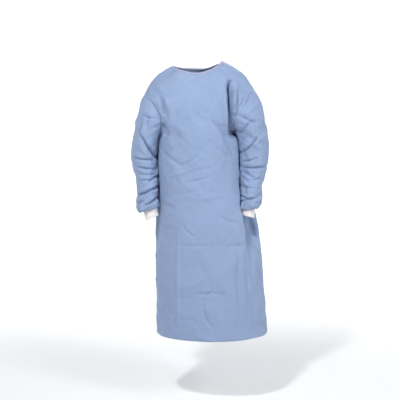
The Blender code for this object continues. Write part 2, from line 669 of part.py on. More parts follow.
def least_gap(back, points):
    """How far the nearest of these points lies outside the back."""
    gaps = []
    for point in np.reshape(points, (-1, 3)):
        turn = math.degrees(math.atan2(BACK_AXIS - point[0], point[1]))
        axis, out = around_back(point[2], turn)
        gaps.append((point - axis) @ out - cloth_reach(back, point[2], turn))
    return min(gaps)


def spread_over(grid, parts):
    """Points spread evenly over the triangles that a grid's quads split into."""
    a, b, c, d = grid[:-1, :-1], grid[:-1, 1:], grid[1:, 1:], grid[1:, :-1]
    shares = np.linspace(0.0, 1.0, parts + 1)
    return [a + (b - a) * v + (c - b) * u if v >= u else a + (d - a) * u + (c - d) * v for u in shares for v in shares]


def tape(name, back, heights, turns, lifts, wall):
    """A flat strip laid on the back, the nearest of it TIE_LIFT off the cloth. Heights and turns have a row
    for each of its three lines of points. Where the cloth under it steps down, it slopes down beside the step."""
    inner, along = [], []
    for line_heights, line_turns in zip(heights, turns):
        fine = np.linspace(0, len(line_heights) - 1, 8 * (len(line_heights) - 1) + 1)
        places = np.arange(len(line_heights))
        fine_heights, fine_turns = np.interp(fine, places, line_heights), np.interp(fine, places, line_turns)
        reach = np.array([cloth_reach(back, h, t) for h, t in zip(fine_heights, fine_turns)])
        spots = np.array([around_back(h, t)[0] + around_back(h, t)[1] * r for h, t, r in zip(fine_heights, fine_turns, reach)])
        far = np.linalg.norm(spots[:, None] - spots[None], axis=-1)
        highest = np.max(reach[None] - TAPE_SLOPE * np.maximum(0.0, far - TAPE_REST), axis=1)
        ways = [around_back(h, t) for h, t in zip(line_heights, line_turns)]
        inner.append([axis + out * (highest[8 * k] + lifts[k]) for k, (axis, out) in enumerate(ways)])
        along.append([out for _, out in ways])
    inner, along = np.array(inner), np.array(along)
    inner += along * (TIE_LIFT - least_gap(back, spread_over(inner, 4)))
    add_wall(name, inner + along * wall, inner, False, TAPE_BLUE)


def add_waist_ties(back):
    """Two tapes tied at the back: a stretch from the flap, one from the side, the knot and two tails."""
    half = TAPE_WIDTH / 2
    reach = cloth_reach(back, TIE_HEIGHT, KNOT_TURN)
    degrees = math.degrees(1 / reach)
    aside = (KNOT_HALF_WIDTH + TIE_GAP) * degrees
    for name, start, end in (
        ("tie_flap_stretch", TIE_FLAP_TURN, KNOT_TURN - aside),
        ("tie_side_stretch", TIE_SIDE_TURN, KNOT_TURN + aside),
    ):
        turns = np.tile(np.linspace(start, end, 11), (3, 1))
        drawn_in = half * tapered(np.abs(turns[0] - end) / degrees, 0.03)
        heights = np.array([[-1.0], [0.0], [1.0]]) * drawn_in + TIE_HEIGHT
        tape(name, back, heights, turns, [0.0] * 11, TAPE_WALL)
    top = TIE_HEIGHT - KNOT_HALF_HEIGHT - TIE_GAP
    for tail in TAILS:
        heights = np.tile(np.linspace(top, top - tail.length, 15), (3, 1))
        middle = KNOT_TURN + degrees * np.linspace(tail.start, tail.end, 15)
        drawn_in = half * tapered(np.linspace(0.0, tail.length, 15), 0.09)
        turns = middle[None] + degrees * np.array([[-1.0], [0.0], [1.0]]) * drawn_in
        tape(tail.name, back, heights, turns, tail.lift * np.linspace(0.0, 1.0, 15), TAPE_WALL)
    add_knot(back)


def tapered(away, length):
    """The share of its width that a tape has this far from the knot, where it is drawn in."""
    return 0.46 + 0.54 * eased(away / length)


def add_knot(back):
    """The knot, a round lump of folded tape, flat where it rests on the cloth."""
    axis, out = around_back(TIE_HEIGHT, KNOT_TURN)
    middle = axis + out * cloth_reach(back, TIE_HEIGHT, KNOT_TURN)
    sideways = unit(np.cross(out, np.array((0.0, 0.0, 1.0))))
    shell = bmesh.new()
    bmesh.ops.create_uvsphere(shell, u_segments=14, v_segments=8, radius=1.0)
    places = []
    for vertex in shell.verts:
        x, y, z = vertex.co
        square = 1.0 + 0.12 * math.sin(2 * math.atan2(z, x)) ** 2
        place = sideways * x * KNOT_HALF_WIDTH * square + out * (y if y > 0 else 0.25 * y) * KNOT_HALF_DEPTH
        places.append(middle + place + np.array((0.0, 0.0, z * KNOT_HALF_HEIGHT * square)))
    rest = out * (TIE_LIFT - least_gap(back, places))
    for vertex, place in zip(shell.verts, places):
        vertex.co = place + rest
    add_object("tie_knot", shell, TAPE_BLUE)


def add_neck_tab(back):
    """A fastening strip just under the binding, sewn to the outer flap and closed on the right panel."""
    turns = np.tile(np.linspace(TAB_FROM, TAB_TO, 11), (3, 1))
    heights = TAB_HEIGHT + TAB_WIDTH * np.array([[-0.5], [0.0], [0.5]]) + np.zeros((1, 11))
    tape("neck_tab", back, heights, turns, [0.0] * 11, TAB_WALL)


def build():
    for old in list(bpy.data.objects):
        bpy.data.objects.remove(old)
    gown = bpy.data.collections.new("surgical_gown")
    bpy.context.scene.collection.children.link(gown)

    left = sleeve("sleeve_left", LEFT_SLEEVE, 1, LEFT_SLEEVE_FRONT_FOLDS, LEFT_SLEEVE_BACK_FOLDS)
    right = sleeve("sleeve_right", RIGHT_SLEEVE, -1, RIGHT_SLEEVE_FRONT_FOLDS, RIGHT_SLEEVE_BACK_FOLDS)
    cuffs = (cuff("cuff_left", LEFT_SLEEVE, LEFT_CUFF_END, 1), cuff("cuff_right", RIGHT_SLEEVE, RIGHT_CUFF_END, -1))
    grids = [(piece.outer, piece.normals, True) for piece in (left, right)]
    grids += [(outer, grid_normals(outer, True), True) for _, outer, *_ in cuffs]
    worn = (surface_of(grids), (left.outer[-1], right.outer[-1]), [outer[0] for _, outer, *_ in cuffs])
    front = front_panel(worn)
    outer_flap = back_panel("back_panel_left", True, worn)
    inner_flap = back_panel("back_panel_right", False, worn)
    pieces = [front, outer_flap, inner_flap, left, right]
    share_seams(pieces)
    for piece in pieces:
        outer, inner = trimmed(piece)
        add_wall(piece.name, outer, inner, piece.closed, piece.colour)
    for made in cuffs:
        add_wall(*made)
    add_neck_binding(outer_flap, front, inner_flap)
    back = surface_of([(piece.outer, piece.normals, False) for piece in (outer_flap, inner_flap)])
    add_neck_tab(back)
    add_waist_ties(back)


build()
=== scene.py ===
# %% [markdown]
# # A surgical gown, as it is worn
#
# The gown is light blue nonwoven cloth: spun fibres laid in a sheet and pressed together at thousands of
# tiny points. It hangs from the shoulders, so it is hollow and open at the neck, hem and cuffs.
#
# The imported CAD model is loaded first. It fixes where every piece of cloth lies, and the thick walls that
# it has are then replaced, one by one, by thin cloth with its own folds.

# %% Load the frame
import math
from collections import namedtuple
from functools import partialmethod

import bmesh
import bpy
import numpy as np
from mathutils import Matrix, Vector, noise
from mathutils.bvhtree import BVHTree
from mathutils.kdtree import KDTree


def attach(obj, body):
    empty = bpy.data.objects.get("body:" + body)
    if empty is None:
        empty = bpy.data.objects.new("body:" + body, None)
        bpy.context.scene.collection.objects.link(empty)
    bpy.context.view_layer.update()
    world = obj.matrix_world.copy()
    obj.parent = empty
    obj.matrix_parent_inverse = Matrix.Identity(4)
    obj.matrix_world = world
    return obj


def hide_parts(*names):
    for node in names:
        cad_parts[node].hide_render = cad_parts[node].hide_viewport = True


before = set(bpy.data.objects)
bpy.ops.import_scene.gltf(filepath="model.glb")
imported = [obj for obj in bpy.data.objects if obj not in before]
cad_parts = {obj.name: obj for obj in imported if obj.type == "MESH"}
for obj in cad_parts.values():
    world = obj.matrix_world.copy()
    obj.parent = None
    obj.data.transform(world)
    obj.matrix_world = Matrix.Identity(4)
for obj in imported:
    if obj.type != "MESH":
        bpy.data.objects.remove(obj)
bpy.ops.object.select_all(action="DESELECT")
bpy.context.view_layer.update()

# %% [markdown]
# ## The camera, the floor and the light
#
# The camera stands a little over three metres in front of the gown, just above its waist, and looks slightly
# down. A long lens keeps the proportions calm.

# %% Camera
lens = bpy.data.cameras.new("camera")
lens.lens, lens.sensor_width = 69.9, 36.0
camera = bpy.data.objects.new("camera", lens)
camera.location = (0.013, -3.396, -0.378)
camera.rotation_euler = (math.radians(90 - 3.646), 0, 0)
bpy.context.scene.collection.objects.link(camera)
bpy.context.scene.camera = camera
print("camera", [round(v, 3) for v in camera.location])

# %% [markdown]
# The floor is a wide round stage whose rim rises in one soft curve, as the paper in a photographer's studio
# does. No line crosses the picture, whichever side the gown is seen from.

# %% Floor and backdrop
FLOOR = -1.475  # the gown's hem hangs above the floor, as high as the wearer carries it
FLAT, CURVE, WALL_TOP = 4.4, 1.5, 3.6  # how far the floor lies flat, the turn of its rim, and the rim's top
SPOKES = 72


def grid_faces(rows, columns, closed):
    """Faces between a grid's neighbouring points. A closed grid's columns run right round."""
    faces = []
    for i in range(rows - 1):
        for j in range(columns if closed else columns - 1):
            k = (j + 1) % columns
            faces.append((i * columns + j, i * columns + k, (i + 1) * columns + k, (i + 1) * columns + j))
    return faces


def fill_in(node, values):
    """Sets a node's sockets by their names."""
    for socket, value in values.items():
        node.inputs[socket].default_value = value


turns = np.linspace(0, math.pi / 2, 20)
rim = [(FLAT + CURVE * math.sin(a), FLOOR + CURVE - CURVE * math.cos(a)) for a in turns]
profile = [(0.001, FLOOR), (2.0, FLOOR), *rim, (FLAT + CURVE, WALL_TOP)]
ring = [(math.cos(a), math.sin(a)) for a in np.linspace(0, 2 * math.pi, SPOKES + 1)[:-1]]
paper = bpy.data.meshes.new("backdrop")
points = [(far * c, far * s, z) for far, z in profile for c, s in ring]
paper.from_pydata(points, [], grid_faces(len(profile), SPOKES, True))
paper.flip_normals()
paper.shade_smooth()
backdrop = bpy.data.objects.new("backdrop", paper)
bpy.context.scene.collection.objects.link(backdrop)
glow = bpy.data.materials.new("stage_white")
glow.use_nodes = True
fill_in(glow.node_tree.nodes["Principled BSDF"], {
    "Base Color": (0.74, 0.75, 0.76, 1.0),
    "Roughness": 0.95,
    "Emission Color": (0.97, 0.98, 1.0, 1.0),
    "Emission Strength": 0.12,
})
paper.materials.append(glow)
print("backdrop", len(paper.polygons), "faces")

# %% [markdown]
# The light is soft and nearly even. A small lamp above the front draws the folds, a wide one from the right
# fills their shadows, and one stands behind. Seven more, in a ring, light the backdrop's wall, so that the
# paper shows white from every side. A lamp with a narrowed spread fades out at its edges.

# %% Lamps
WALL_LAMPS = ((60, 60), (90, 66), (120, 60), (0, 30), (180, 30), (240, 22), (300, 22))  # degrees round, watts


def lamp(name, place, aim, size, power):
    """A round area lamp at a place, turned towards a point and not seen by the camera itself."""
    light = bpy.data.lights.new(name, "AREA")
    light.shape, light.size, light.energy, light.spread = "DISK", size, power, math.radians(130)
    made = bpy.data.objects.new(name, light)
    made.location = place
    made.rotation_euler = (Vector(aim) - Vector(place)).to_track_quat("-Z", "Y").to_euler()
    made.visible_camera = False
    bpy.context.scene.collection.objects.link(made)


lamp("lamp_front", (-1.1, -2.6, 2.3), (0, 0, -0.35), 0.4, 54)
lamp("lamp_right", (2.4, -2.2, 1.0), (0, 0, -0.5), 1.1, 25)
lamp("lamp_behind", (1.0, 3.0, 2.3), (0, 0, -0.5), 1.6, 40)
for number, (turn, power) in enumerate(WALL_LAMPS):
    x, y = math.cos(math.radians(turn)), math.sin(math.radians(turn))
    lamp(f"lamp_wall_{number}", (2.3 * x, 2.3 * y, 2.6), (5.5 * x, 5.5 * y, -0.7), 1.2, power)
world = bpy.data.worlds.new("studio")
world.use_nodes = True
fill_in(world.node_tree.nodes["Background"], {"Color": (0.95, 0.97, 1.0, 1.0), "Strength": 0.05})
bpy.context.scene.world = world
bpy.context.scene.view_settings.view_transform = "Standard"
print("lamps", [o.name for o in bpy.context.scene.objects if o.type == "LIGHT"])

# %% [markdown]
# ## A way to write finishes
#
# A finish is a network of nodes, and most of its nodes are plain sums. Field wraps one output of a node, so
# that sums are written as Python does them: `1 - mask * 0.3` adds the Math nodes by itself. Every other node
# comes from one method that takes the node's type, its settings and the values of its sockets.

# %% Fields and finishes
class Field:
    """A number that varies over a surface: one output socket of a finish's nodes."""

    def __init__(self, finish, socket):
        self.finish, self.socket = finish, socket

    def math_node(self, operation, *others):
        """A Math node whose first value is this field."""
        return self.finish.node("Math", {"operation": operation}, dict(enumerate((self, *others))))

    __add__ = __radd__ = partialmethod(math_node, "ADD")
    __mul__ = __rmul__ = partialmethod(math_node, "MULTIPLY")
    __sub__ = partialmethod(math_node, "SUBTRACT")
    __truediv__ = partialmethod(math_node, "DIVIDE")
    __pow__ = partialmethod(math_node, "POWER")
    __abs__ = partialmethod(math_node, "ABSOLUTE")
    fraction = partialmethod(math_node, "FRACT")
    sine = partialmethod(math_node, "SINE")
    most = partialmethod(math_node, "MAXIMUM")
    least = partialmethod(math_node, "MINIMUM")

    def __rsub__(self, other):
        return self.finish.node("Math", {"operation": "SUBTRACT"}, {0: other, 1: self})

    def step(self, low, high):
        """0 below low, 1 above high, and smooth between. With low above high it falls instead."""
        falls = low > high
        values = {"Value": self, "From Min": min(low, high), "From Max": max(low, high)}
        values |= {"To Min": float(falls), "To Max": float(not falls)}
        return self.finish.node("MapRange", {"interpolation_type": "SMOOTHSTEP"}, values)


class Finish:
    """A material whose nodes are written as expressions."""

    def __init__(self, name, roughness, sheen):
        self.material = bpy.data.materials.new(name)
        self.material.use_nodes = True
        self.tree = self.material.node_tree
        self.shader = self.tree.nodes["Principled BSDF"]
        fill_in(self.shader, {"Roughness": roughness, "Specular IOR Level": 0.35})
        fill_in(self.shader, {"Sheen Weight": sheen, "Sheen Roughness": 0.5})

    def set(self, socket, value):
        """Links a field to a socket, or sets the socket to a plain value."""
        if isinstance(value, Field):
            self.tree.links.new(value.socket, socket)
        else:
            socket.default_value = value

    def node(self, kind, settings=None, values=None, output=0):
        """One node, with its settings and the values of its sockets, as a field."""
        made = self.tree.nodes.new("ShaderNode" + kind)
        for setting, value in (settings or {}).items():
            setattr(made, setting, value)
        for socket, value in (values or {}).items():
            self.set(made.inputs[socket], value)
        return Field(self, made.outputs[output])

    def mark(self, name):
        """A mark kept at the cloth's points, in metres."""
        return self.node("Attribute", {"attribute_name": name}, output=2)

    def cloth_places(self):
        """Where a point lies on the flat cloth, in metres, across and along."""
        split = self.node("SeparateXYZ", values={0: self.node("UVMap", {"uv_map": "cloth"})})
        return split, Field(self, split.socket.node.outputs[1])

    def clouds(self, across, along, detail=2.0, rough=0.5):
        """Soft noise from 0 to 1. Across and along are already divided by its size."""
        place = self.node("CombineXYZ", values={0: across, 1: along, 2: 0.5})
        values = {"Vector": place, "Scale": 1.0, "Detail": detail, "Roughness": rough}
        return self.node("TexNoise", values=values)

    def mix(self, share, low, high):
        """A colour between two others. Shares outside 0 to 1 count as 0 or 1."""
        return self.node("Mix", {"data_type": "RGBA"}, {0: share, 6: low, 7: high}, output=2)

    def surface(self, colour, height, roughness):
        """Sends a colour, a height in millimetres and a roughness to the shader."""
        bump = self.node("Bump", values={"Height": height, "Strength": 1.0, "Distance": 0.001})
        for name, value in (("Base Color", colour), ("Normal", bump), ("Roughness", roughness)):
            self.set(self.shader.inputs[name], value)
        return self.material


def stitches(off, wide, narrow, run, pitch, gap=(0.22, 0.38)):
    """A sewn row, from how far off it and how far along it a point lies: the groove, and its threads."""
    groove = abs(off).step(wide, narrow)
    return groove, groove * (run / pitch).fraction().step(*gap)


print("finishes are written as expressions")

# %% [markdown]
# ## The gown's blue nonwoven
#
# Nonwoven cloth has no threads. Fine fibres lie in all directions, thicker in some spots than in others, so
# its blue is faintly cloudy. A heated roller presses it together at small diamond points in a slanting
# grid, which are flatter and smoother than the rest. Seams pucker it, and the hem is turned up and sewn.

# %% Nonwoven
BOND = 0.0024  # from one pressed point to the next


def bond_points(across, along):
    """1 on the pressed points and 0 between them."""
    p, q = (across + along) / BOND, (across - along) / BOND
    from_middle = abs(p.fraction() - 0.5).most(abs(q.fraction() - 0.5))
    return from_middle.step(0.27, 0.17)


def nonwoven(name, dark, light, seams=True):
    """Pressed fibres with cloudy clots, fine crinkles where it is worn, and puckers along what is sewn."""
    finish = Finish(name, 0.7, sheen=0.1)
    across, along = finish.cloth_places()
    points = bond_points(across, along)
    fibres = finish.clouds(across * 2200, along * 420, 3.0)
    fibres += finish.clouds(across * 380 + along * 1300, along * 1900 - across * 500, 3.0)
    clots = finish.clouds(across * 150, along * 150, 4.0, 0.6)
    tone = finish.clouds(across * 11, along * 9, 2.0)
    share = 0.5 + (clots - 0.5) * 0.9 + (tone - 0.5) * 0.5 + (fibres - 1.0) * 0.25 - points * 0.10
    fine = abs(finish.clouds(across * 42, along * 42, 2.0) - 0.5).least(0.10)
    finer = abs(finish.clouds(across * 105 + along * 30, along * 105, 1.0) - 0.5).least(0.12)
    worn = finish.clouds(across * 8 + 3.0, along * 7, 1.0).step(0.42, 0.60)
    height = fibres * 0.05 + clots * 0.10 - points * 0.07
    height = height - fine * (worn * 5.0 + 2.2) - finer * (worn * 1.6 + 0.4)
    if seams:
        side, hem = finish.mark("side"), finish.mark("hem")
        ripples = finish.clouds(along * 105, across * 105, 1.0) - 0.5
        pucker = side.step(0.016, 0.002)
        groove = side.step(0.0014, 0.0004)
        folded = hem.step(0.0205, 0.0195)
        sewn, stitch = stitches(hem - 0.018, 0.0009, 0.0003, across + along * 0.15, 0.0031, (0.25, 0.4))
        height = height + pucker * ripples * 1.6 - groove * 0.5 + folded * 0.25 + stitch * 0.25 - sewn * 0.30
        height += hem.step(0.034, 0.004) * ripples
        share = share - groove * 0.35 - sewn * 0.45 + stitch * 0.35 + folded * 0.12
    colour = finish.mix(share, dark, light)
    return finish.surface(colour, height, 0.70 - points * 0.18 + (clots - 0.5) * 0.12)


gown_blue = nonwoven("gown_cloth", (0.214, 0.291, 0.456, 1.0), (0.252, 0.331, 0.502, 1.0))
tape_blue = nonwoven("tie_tape", (0.25, 0.33, 0.49, 1.0), (0.30, 0.38, 0.545, 1.0), seams=False)
print("nonwoven:", len(gown_blue.node_tree.nodes), "nodes")

# %% [markdown]
# ## Knit, binding, tape and hook strip
#
# The cuffs' knit is rows of small V-shaped loops. The binding is a finer, paler strip with one line of
# stitches. The tapes are strips of the gown's own cloth, folded flat. The neck tab is a strip of hooks and
# loops, whose face is a dense fuzz.

# %% Knit
def knit(name):
    """Columns of V-shaped loops with a soft fuzz."""
    finish = Finish(name, 0.9, sheen=0.2)
    across, along = finish.cloth_places()
    wale = abs((across / 0.0011).fraction() - 0.5) * 2
    course = ((along / 0.0012 + wale * 0.55) * (2 * math.pi)).sine() * 0.5 + 0.5
    loops = (1 - wale**2.5) * (0.45 + course * 0.55)
    fuzz = finish.clouds(across * 2600, along * 2600, 3.0)
    soft = finish.clouds(across * 90, along * 60, 2.0)
    # The loops are the knit's own pattern, and their colour is also darker in the hollows between them, which
    # is painted shade.
    share = loops * 0.55 + fuzz * 0.25 + soft * 0.35
    colour = finish.mix(share, (0.66, 0.62, 0.635, 1.0), (0.85, 0.81, 0.805, 1.0))
    return finish.surface(colour, loops * 0.30 + fuzz * 0.08, 0.95 - loops * 0.08)


cuff_white = knit("cuff_knit")
print("knit:", len(cuff_white.node_tree.nodes), "nodes")

# %% Binding and hook strip
def binding_finish(name):
    """A fine plain weave with one line of pale stitches."""
    finish = Finish(name, 0.75, sheen=0.15)
    across, along = finish.cloth_places()
    weave = ((across / 0.0007) * (2 * math.pi)).sine() * ((along / 0.0007) * (2 * math.pi)).sine()
    clots = finish.clouds(across * 260, along * 260, 3.0)
    row, thread = stitches(along - 0.0019, 0.0006, 0.0002, across, 0.0026)
    share = 0.5 + weave * 0.12 + (clots - 0.5) * 0.7 - row * 0.35 + thread * 0.75
    colour = finish.mix(share, (0.26, 0.28, 0.42, 1.0), (0.39, 0.41, 0.56, 1.0))
    height = weave * 0.04 + clots * 0.08 - row * 0.22 + thread * 0.3
    return finish.surface(colour, height, 0.8 - thread * 0.15)


def hook_strip(name):
    """A dense fuzz of hooks and loops, with a flat sewn edge."""
    finish = Finish(name, 0.9, sheen=0.3)
    across, along = finish.cloth_places()
    side = finish.mark("side")
    place = finish.node("CombineXYZ", values={0: across, 1: along})
    loops = finish.node("TexVoronoi", {"feature": "F1"}, {"Vector": place, "Scale": 1100.0})
    fuzz = finish.clouds(across * 1500, along * 1500, 4.0, 0.7)
    face = side.step(0.0022, 0.0030)
    _, thread = stitches(side - 0.0014, 0.0005, 0.0002, across, 0.0028)
    share = 0.35 + face * (fuzz - 0.5) + face * (0.5 - loops) * 0.6 + thread * 0.6
    colour = finish.mix(share, (0.27, 0.34, 0.49, 1.0), (0.42, 0.48, 0.62, 1.0))
    return finish.surface(colour, face * (fuzz * 0.35 + loops * 0.25) + thread * 0.3, 0.92 - thread * 0.2)


neck_pale, tab_fuzz = binding_finish("neck_binding"), hook_strip("neck_tab")
print("binding and hook strip ready")

# %% [markdown]
# ## The gown's form, in tables
#
# A gown's shape is easiest to keep in a few short tables, as a tailor keeps a list of measures. Rise counts
# the levels of the body: 0 at the hem, 1 under the arms, 2 at the tips of the dropped shoulders and 3 at the
# neck. Sizes are in metres, and turns in degrees.

# %% Tables of the body
UNDERARM, TIP, NECK = 1.0, 2.0, 3.0
HEM = -1.176

CentreRow = namedtuple("CentreRow", "rise x front front_z back back_z reach square flap")
CENTRE = (
    CentreRow(0.00, 0.068, -0.180, -1.180, 0.168, -1.172, 90, 2.10, 0.125),
    CentreRow(0.25, 0.055, -0.172, -0.961, 0.160, -0.957, 90, 2.10, 0.118),
    CentreRow(0.50, 0.040, -0.160, -0.742, 0.150, -0.740, 90, 2.10, 0.110),
    CentreRow(0.70, 0.018, -0.150, -0.566, 0.134, -0.566, 90, 2.10, 0.105),
    CentreRow(0.85, 0.006, -0.148, -0.434, 0.126, -0.434, 90, 2.15, 0.100),
    CentreRow(1.00, 0.002, -0.150, -0.304, 0.132, -0.304, 88, 2.15, 0.095),
    CentreRow(1.25, 0.001, -0.147, -0.257, 0.133, -0.249, 72, 2.05, 0.092),
    CentreRow(1.50, 0.000, -0.143, -0.212, 0.132, -0.196, 62, 1.90, 0.089),
    CentreRow(1.75, 0.000, -0.136, -0.171, 0.126, -0.150, 68, 1.72, 0.086),
    CentreRow(2.00, 0.000, -0.126, -0.135, 0.116, -0.108, 78, 1.60, 0.081),
    CentreRow(2.50, 0.000, -0.109, -0.089, 0.096, -0.060, 85, 1.72, 0.070),
    CentreRow(3.00, 0.000, -0.094, -0.056, 0.078, -0.022, 90, 2.00, 0.056),
)

SideRow = namedtuple("SideRow", "rise right right_y left left_y")
SIDES = (
    SideRow(0.00, -0.176, 0.000, 0.311, 0.010),
    SideRow(0.16, -0.179, 0.000, 0.300, 0.014),
    SideRow(0.33, -0.182, 0.006, 0.288, 0.022),
    SideRow(0.45, -0.182, 0.016, 0.279, 0.034),
    SideRow(0.54, -0.182, 0.028, 0.268, 0.048),
    SideRow(0.62, -0.182, 0.042, 0.252, 0.058),
    SideRow(0.70, -0.182, 0.052, 0.222, 0.060),
    SideRow(0.79, -0.186, 0.064, 0.206, 0.066),
    SideRow(0.88, -0.185, 0.062, 0.198, 0.064),
    SideRow(0.95, -0.180, 0.044, 0.189, 0.046),
    SideRow(0.98, -0.171, 0.030, 0.178, 0.034),
    SideRow(1.00, -0.160, -0.001, 0.165, -0.001),
)

SeamPoint = namedtuple("SeamPoint", "share right right_z left left_z")
SHOULDERS = (
    SeamPoint(0.00, -0.228, -0.134, 0.250, -0.116),
    SeamPoint(0.25, -0.205, -0.090, 0.229, -0.082),
    SeamPoint(0.50, -0.178, -0.058, 0.203, -0.047),
    SeamPoint(0.75, -0.146, -0.034, 0.162, -0.018),
    SeamPoint(1.00, -0.113, -0.015, 0.113, 0.007),
)
print("body tables:", len(CENTRE), "centre,", len(SIDES), "side and", len(SHOULDERS), "shoulder rows")

# %% [markdown]
# A sleeve is a chain of rings. Each row gives the ring's point nearest the body, its outermost point, its
# reach to the front and back, and how far its front and back are drawn towards the body. The first ring is
# the armhole and the last one is turned in where the knitted cuff is sewn on.

# %% Tables of the sleeves and cuffs
SleeveRow = namedtuple("SleeveRow", "inner_x inner_z outer_x outer_z front back bow")
LEFT_SLEEVE = (
    SleeveRow(0.165, -0.300, 0.250, -0.116, -0.094, 0.092, 0.036),
    SleeveRow(0.171, -0.322, 0.278, -0.170, -0.098, 0.094, 0.016),
    SleeveRow(0.176, -0.345, 0.299, -0.257, -0.093, 0.090, 0.004),
    SleeveRow(0.180, -0.375, 0.310, -0.326, -0.087, 0.086, 0.000),
    SleeveRow(0.183, -0.415, 0.312, -0.389, -0.083, 0.080, 0.000),
    SleeveRow(0.184, -0.460, 0.306, -0.441, -0.081, 0.071, 0.000),
    SleeveRow(0.185, -0.505, 0.294, -0.494, -0.084, 0.058, 0.000),
    SleeveRow(0.187, -0.550, 0.282, -0.546, -0.091, 0.038, 0.000),
    SleeveRow(0.185, -0.590, 0.284, -0.596, -0.098, 0.020, 0.000),
    SleeveRow(0.181, -0.618, 0.272, -0.615, -0.099, 0.006, 0.000),
    SleeveRow(0.183, -0.630, 0.258, -0.629, -0.093, -0.004, 0.000),
    SleeveRow(0.188, -0.619, 0.252, -0.617, -0.085, -0.011, 0.000),
)
RIGHT_SLEEVE = (
    SleeveRow(-0.160, -0.315, -0.228, -0.134, -0.094, 0.092, 0.034),
    SleeveRow(-0.165, -0.336, -0.251, -0.187, -0.098, 0.094, 0.015),
    SleeveRow(-0.168, -0.357, -0.268, -0.257, -0.093, 0.090, 0.004),
    SleeveRow(-0.170, -0.386, -0.279, -0.325, -0.087, 0.086, 0.000),
    SleeveRow(-0.169, -0.420, -0.286, -0.389, -0.083, 0.080, 0.000),
    SleeveRow(-0.165, -0.462, -0.282, -0.441, -0.081, 0.071, 0.000),
    SleeveRow(-0.163, -0.505, -0.268, -0.494, -0.084, 0.058, 0.000),
    SleeveRow(-0.166, -0.546, -0.259, -0.546, -0.091, 0.038, 0.000),
    SleeveRow(-0.168, -0.582, -0.261, -0.596, -0.098, 0.020, 0.000),
    SleeveRow(-0.164, -0.610, -0.257, -0.632, -0.099, 0.006, 0.000),
    SleeveRow(-0.166, -0.620, -0.246, -0.645, -0.094, -0.004, 0.000),
    SleeveRow(-0.172, -0.612, -0.236, -0.634, -0.086, -0.012, 0.000),
)
CuffEnd = namedtuple("CuffEnd", "inner_x inner_z outer_x outer_z front back")
LEFT_CUFF_END = CuffEnd(0.187, -0.652, 0.250, -0.667, -0.089, -0.017)
RIGHT_CUFF_END = CuffEnd(-0.164, -0.656, -0.221, -0.681, -0.090, -0.020)
print("sleeve tables:", len(LEFT_SLEEVE), "and", len(RIGHT_SLEEVE), "rings")

# %% [markdown]
# Two curves turn the tables into smooth cloth. The first runs through a table's rows wherever they lie. The
# second runs through the points of a whole grid at once, so a coarse grid becomes a fine one with no corners.

# %% Smooth curves
def smooth_through(rows, key, column, at):
    """The column's value at one place along the key, on a smooth curve through the table's rows."""
    keys = [getattr(row, key) for row in rows]
    values = [getattr(row, column) for row in rows]
    last = len(rows) - 1
    i = max(0, min(last - 1, sum(k <= at for k in keys) - 1))

    def slope(n):
        before, after = max(0, n - 1), min(last, n + 1)
        return (values[after] - values[before]) / (keys[after] - keys[before])

    span = keys[i + 1] - keys[i]
    u = min(1.0, max(0.0, (at - keys[i]) / span))
    lead, trail = slope(i) * span, slope(i + 1) * span
    return cubic_between(values[i], values[i + 1], lead, trail, u)


def cubic_between(start, end, lead, trail, u):
    """A cubic from start to end that leaves with the slope lead and arrives with the slope trail."""
    cubic = 2 * start - 2 * end + lead + trail
    square = -3 * start + 3 * end - 2 * lead - trail
    return ((cubic * u + square) * u + lead) * u + start


def resampled(values, at):
    """Evenly spaced values, read off at fractional places on a smooth curve through them."""
    values, at = np.asarray(values, float), np.asarray(at, float)
    i = np.clip(at.astype(int), 0, len(values) - 2)
    u = (at - i).reshape((-1,) + (1,) * (values.ndim - 1))
    before, start, end, after = (values[np.clip(i + k, 0, len(values) - 1)] for k in (-1, 0, 1, 2))
    return cubic_between(start, end, (end - before) / 2, (after - start) / 2, u)


def eased(value):
    """0 up to zero, 1 from one on, and a smooth step between."""
    clipped = np.clip(value, 0.0, 1.0)
    return clipped * clipped * (3 - 2 * clipped)


def bell(off, width):
    """1 in the middle, and fading out beyond the width."""
    return np.exp(-((off / width) ** 2))


def unit(vectors):
    """Vectors of length 1."""
    return vectors / np.maximum(np.linalg.norm(vectors, axis=-1, keepdims=True), 1e-12)


print("halfway between two shoulder points:", round(smooth_through(SHOULDERS, "share", "left", 0.6), 4), "m")

# %% [markdown]
# ## The sleeves' rings and the body's rows
#
# A ring is a tilted ellipse. A row of the body runs from the middle of the front or the back to a side
# seam, an armhole or a shoulder seam, along part of a squared-off ellipse.

# %% Rings of a sleeve
def sleeve_ring(rows, along, angles):
    """Points of one ring: along counts the table's rows, and angles turn from outside round the front."""
    row = SleeveRow(*resampled(np.array(rows), [along])[0])
    side = math.copysign(1.0, row.outer_x)
    x = (row.inner_x + row.outer_x) / 2 + (row.outer_x - row.inner_x) / 2 * np.cos(angles)
    y = (row.front + row.back) / 2 - (row.back - row.front) / 2 * np.sin(angles)
    z = (row.inner_z + row.outer_z) / 2 + (row.outer_z - row.inner_z) / 2 * np.cos(angles)
    return np.stack([x - side * row.bow * np.sin(angles) ** 2, y, z], axis=-1)


def seam_end(rise, side, facing):
    """Where a body row ends: on the side seam, the armhole or the shoulder seam."""
    name, rows = ("left", LEFT_SLEEVE) if side > 0 else ("right", RIGHT_SLEEVE)
    if rise <= UNDERARM:
        x, y = (smooth_through(SIDES, "rise", column, rise) for column in (name, name + "_y"))
        return np.array((x, y, HEM + (rows[0].inner_z - HEM) * rise / UNDERARM))
    if rise <= TIP:
        return sleeve_ring(rows, 0.0, np.array([-facing * math.pi * (TIP - rise) / (TIP - UNDERARM)]))[0]
    share = (rise - TIP) / (NECK - TIP)
    x, z = (smooth_through(SHOULDERS, "share", column, share) for column in (name, name + "_z"))
    return np.array((x, (rows[0].front + rows[0].back) / 2, z))


print("left underarm at", seam_end(UNDERARM, 1.0, -1).round(3))

# %% [markdown]
# The arms hang against the body and press its cloth back and inwards. Wherever a row would pass through a
# sleeve, its points step aside until they lie outside that sleeve's ellipse.

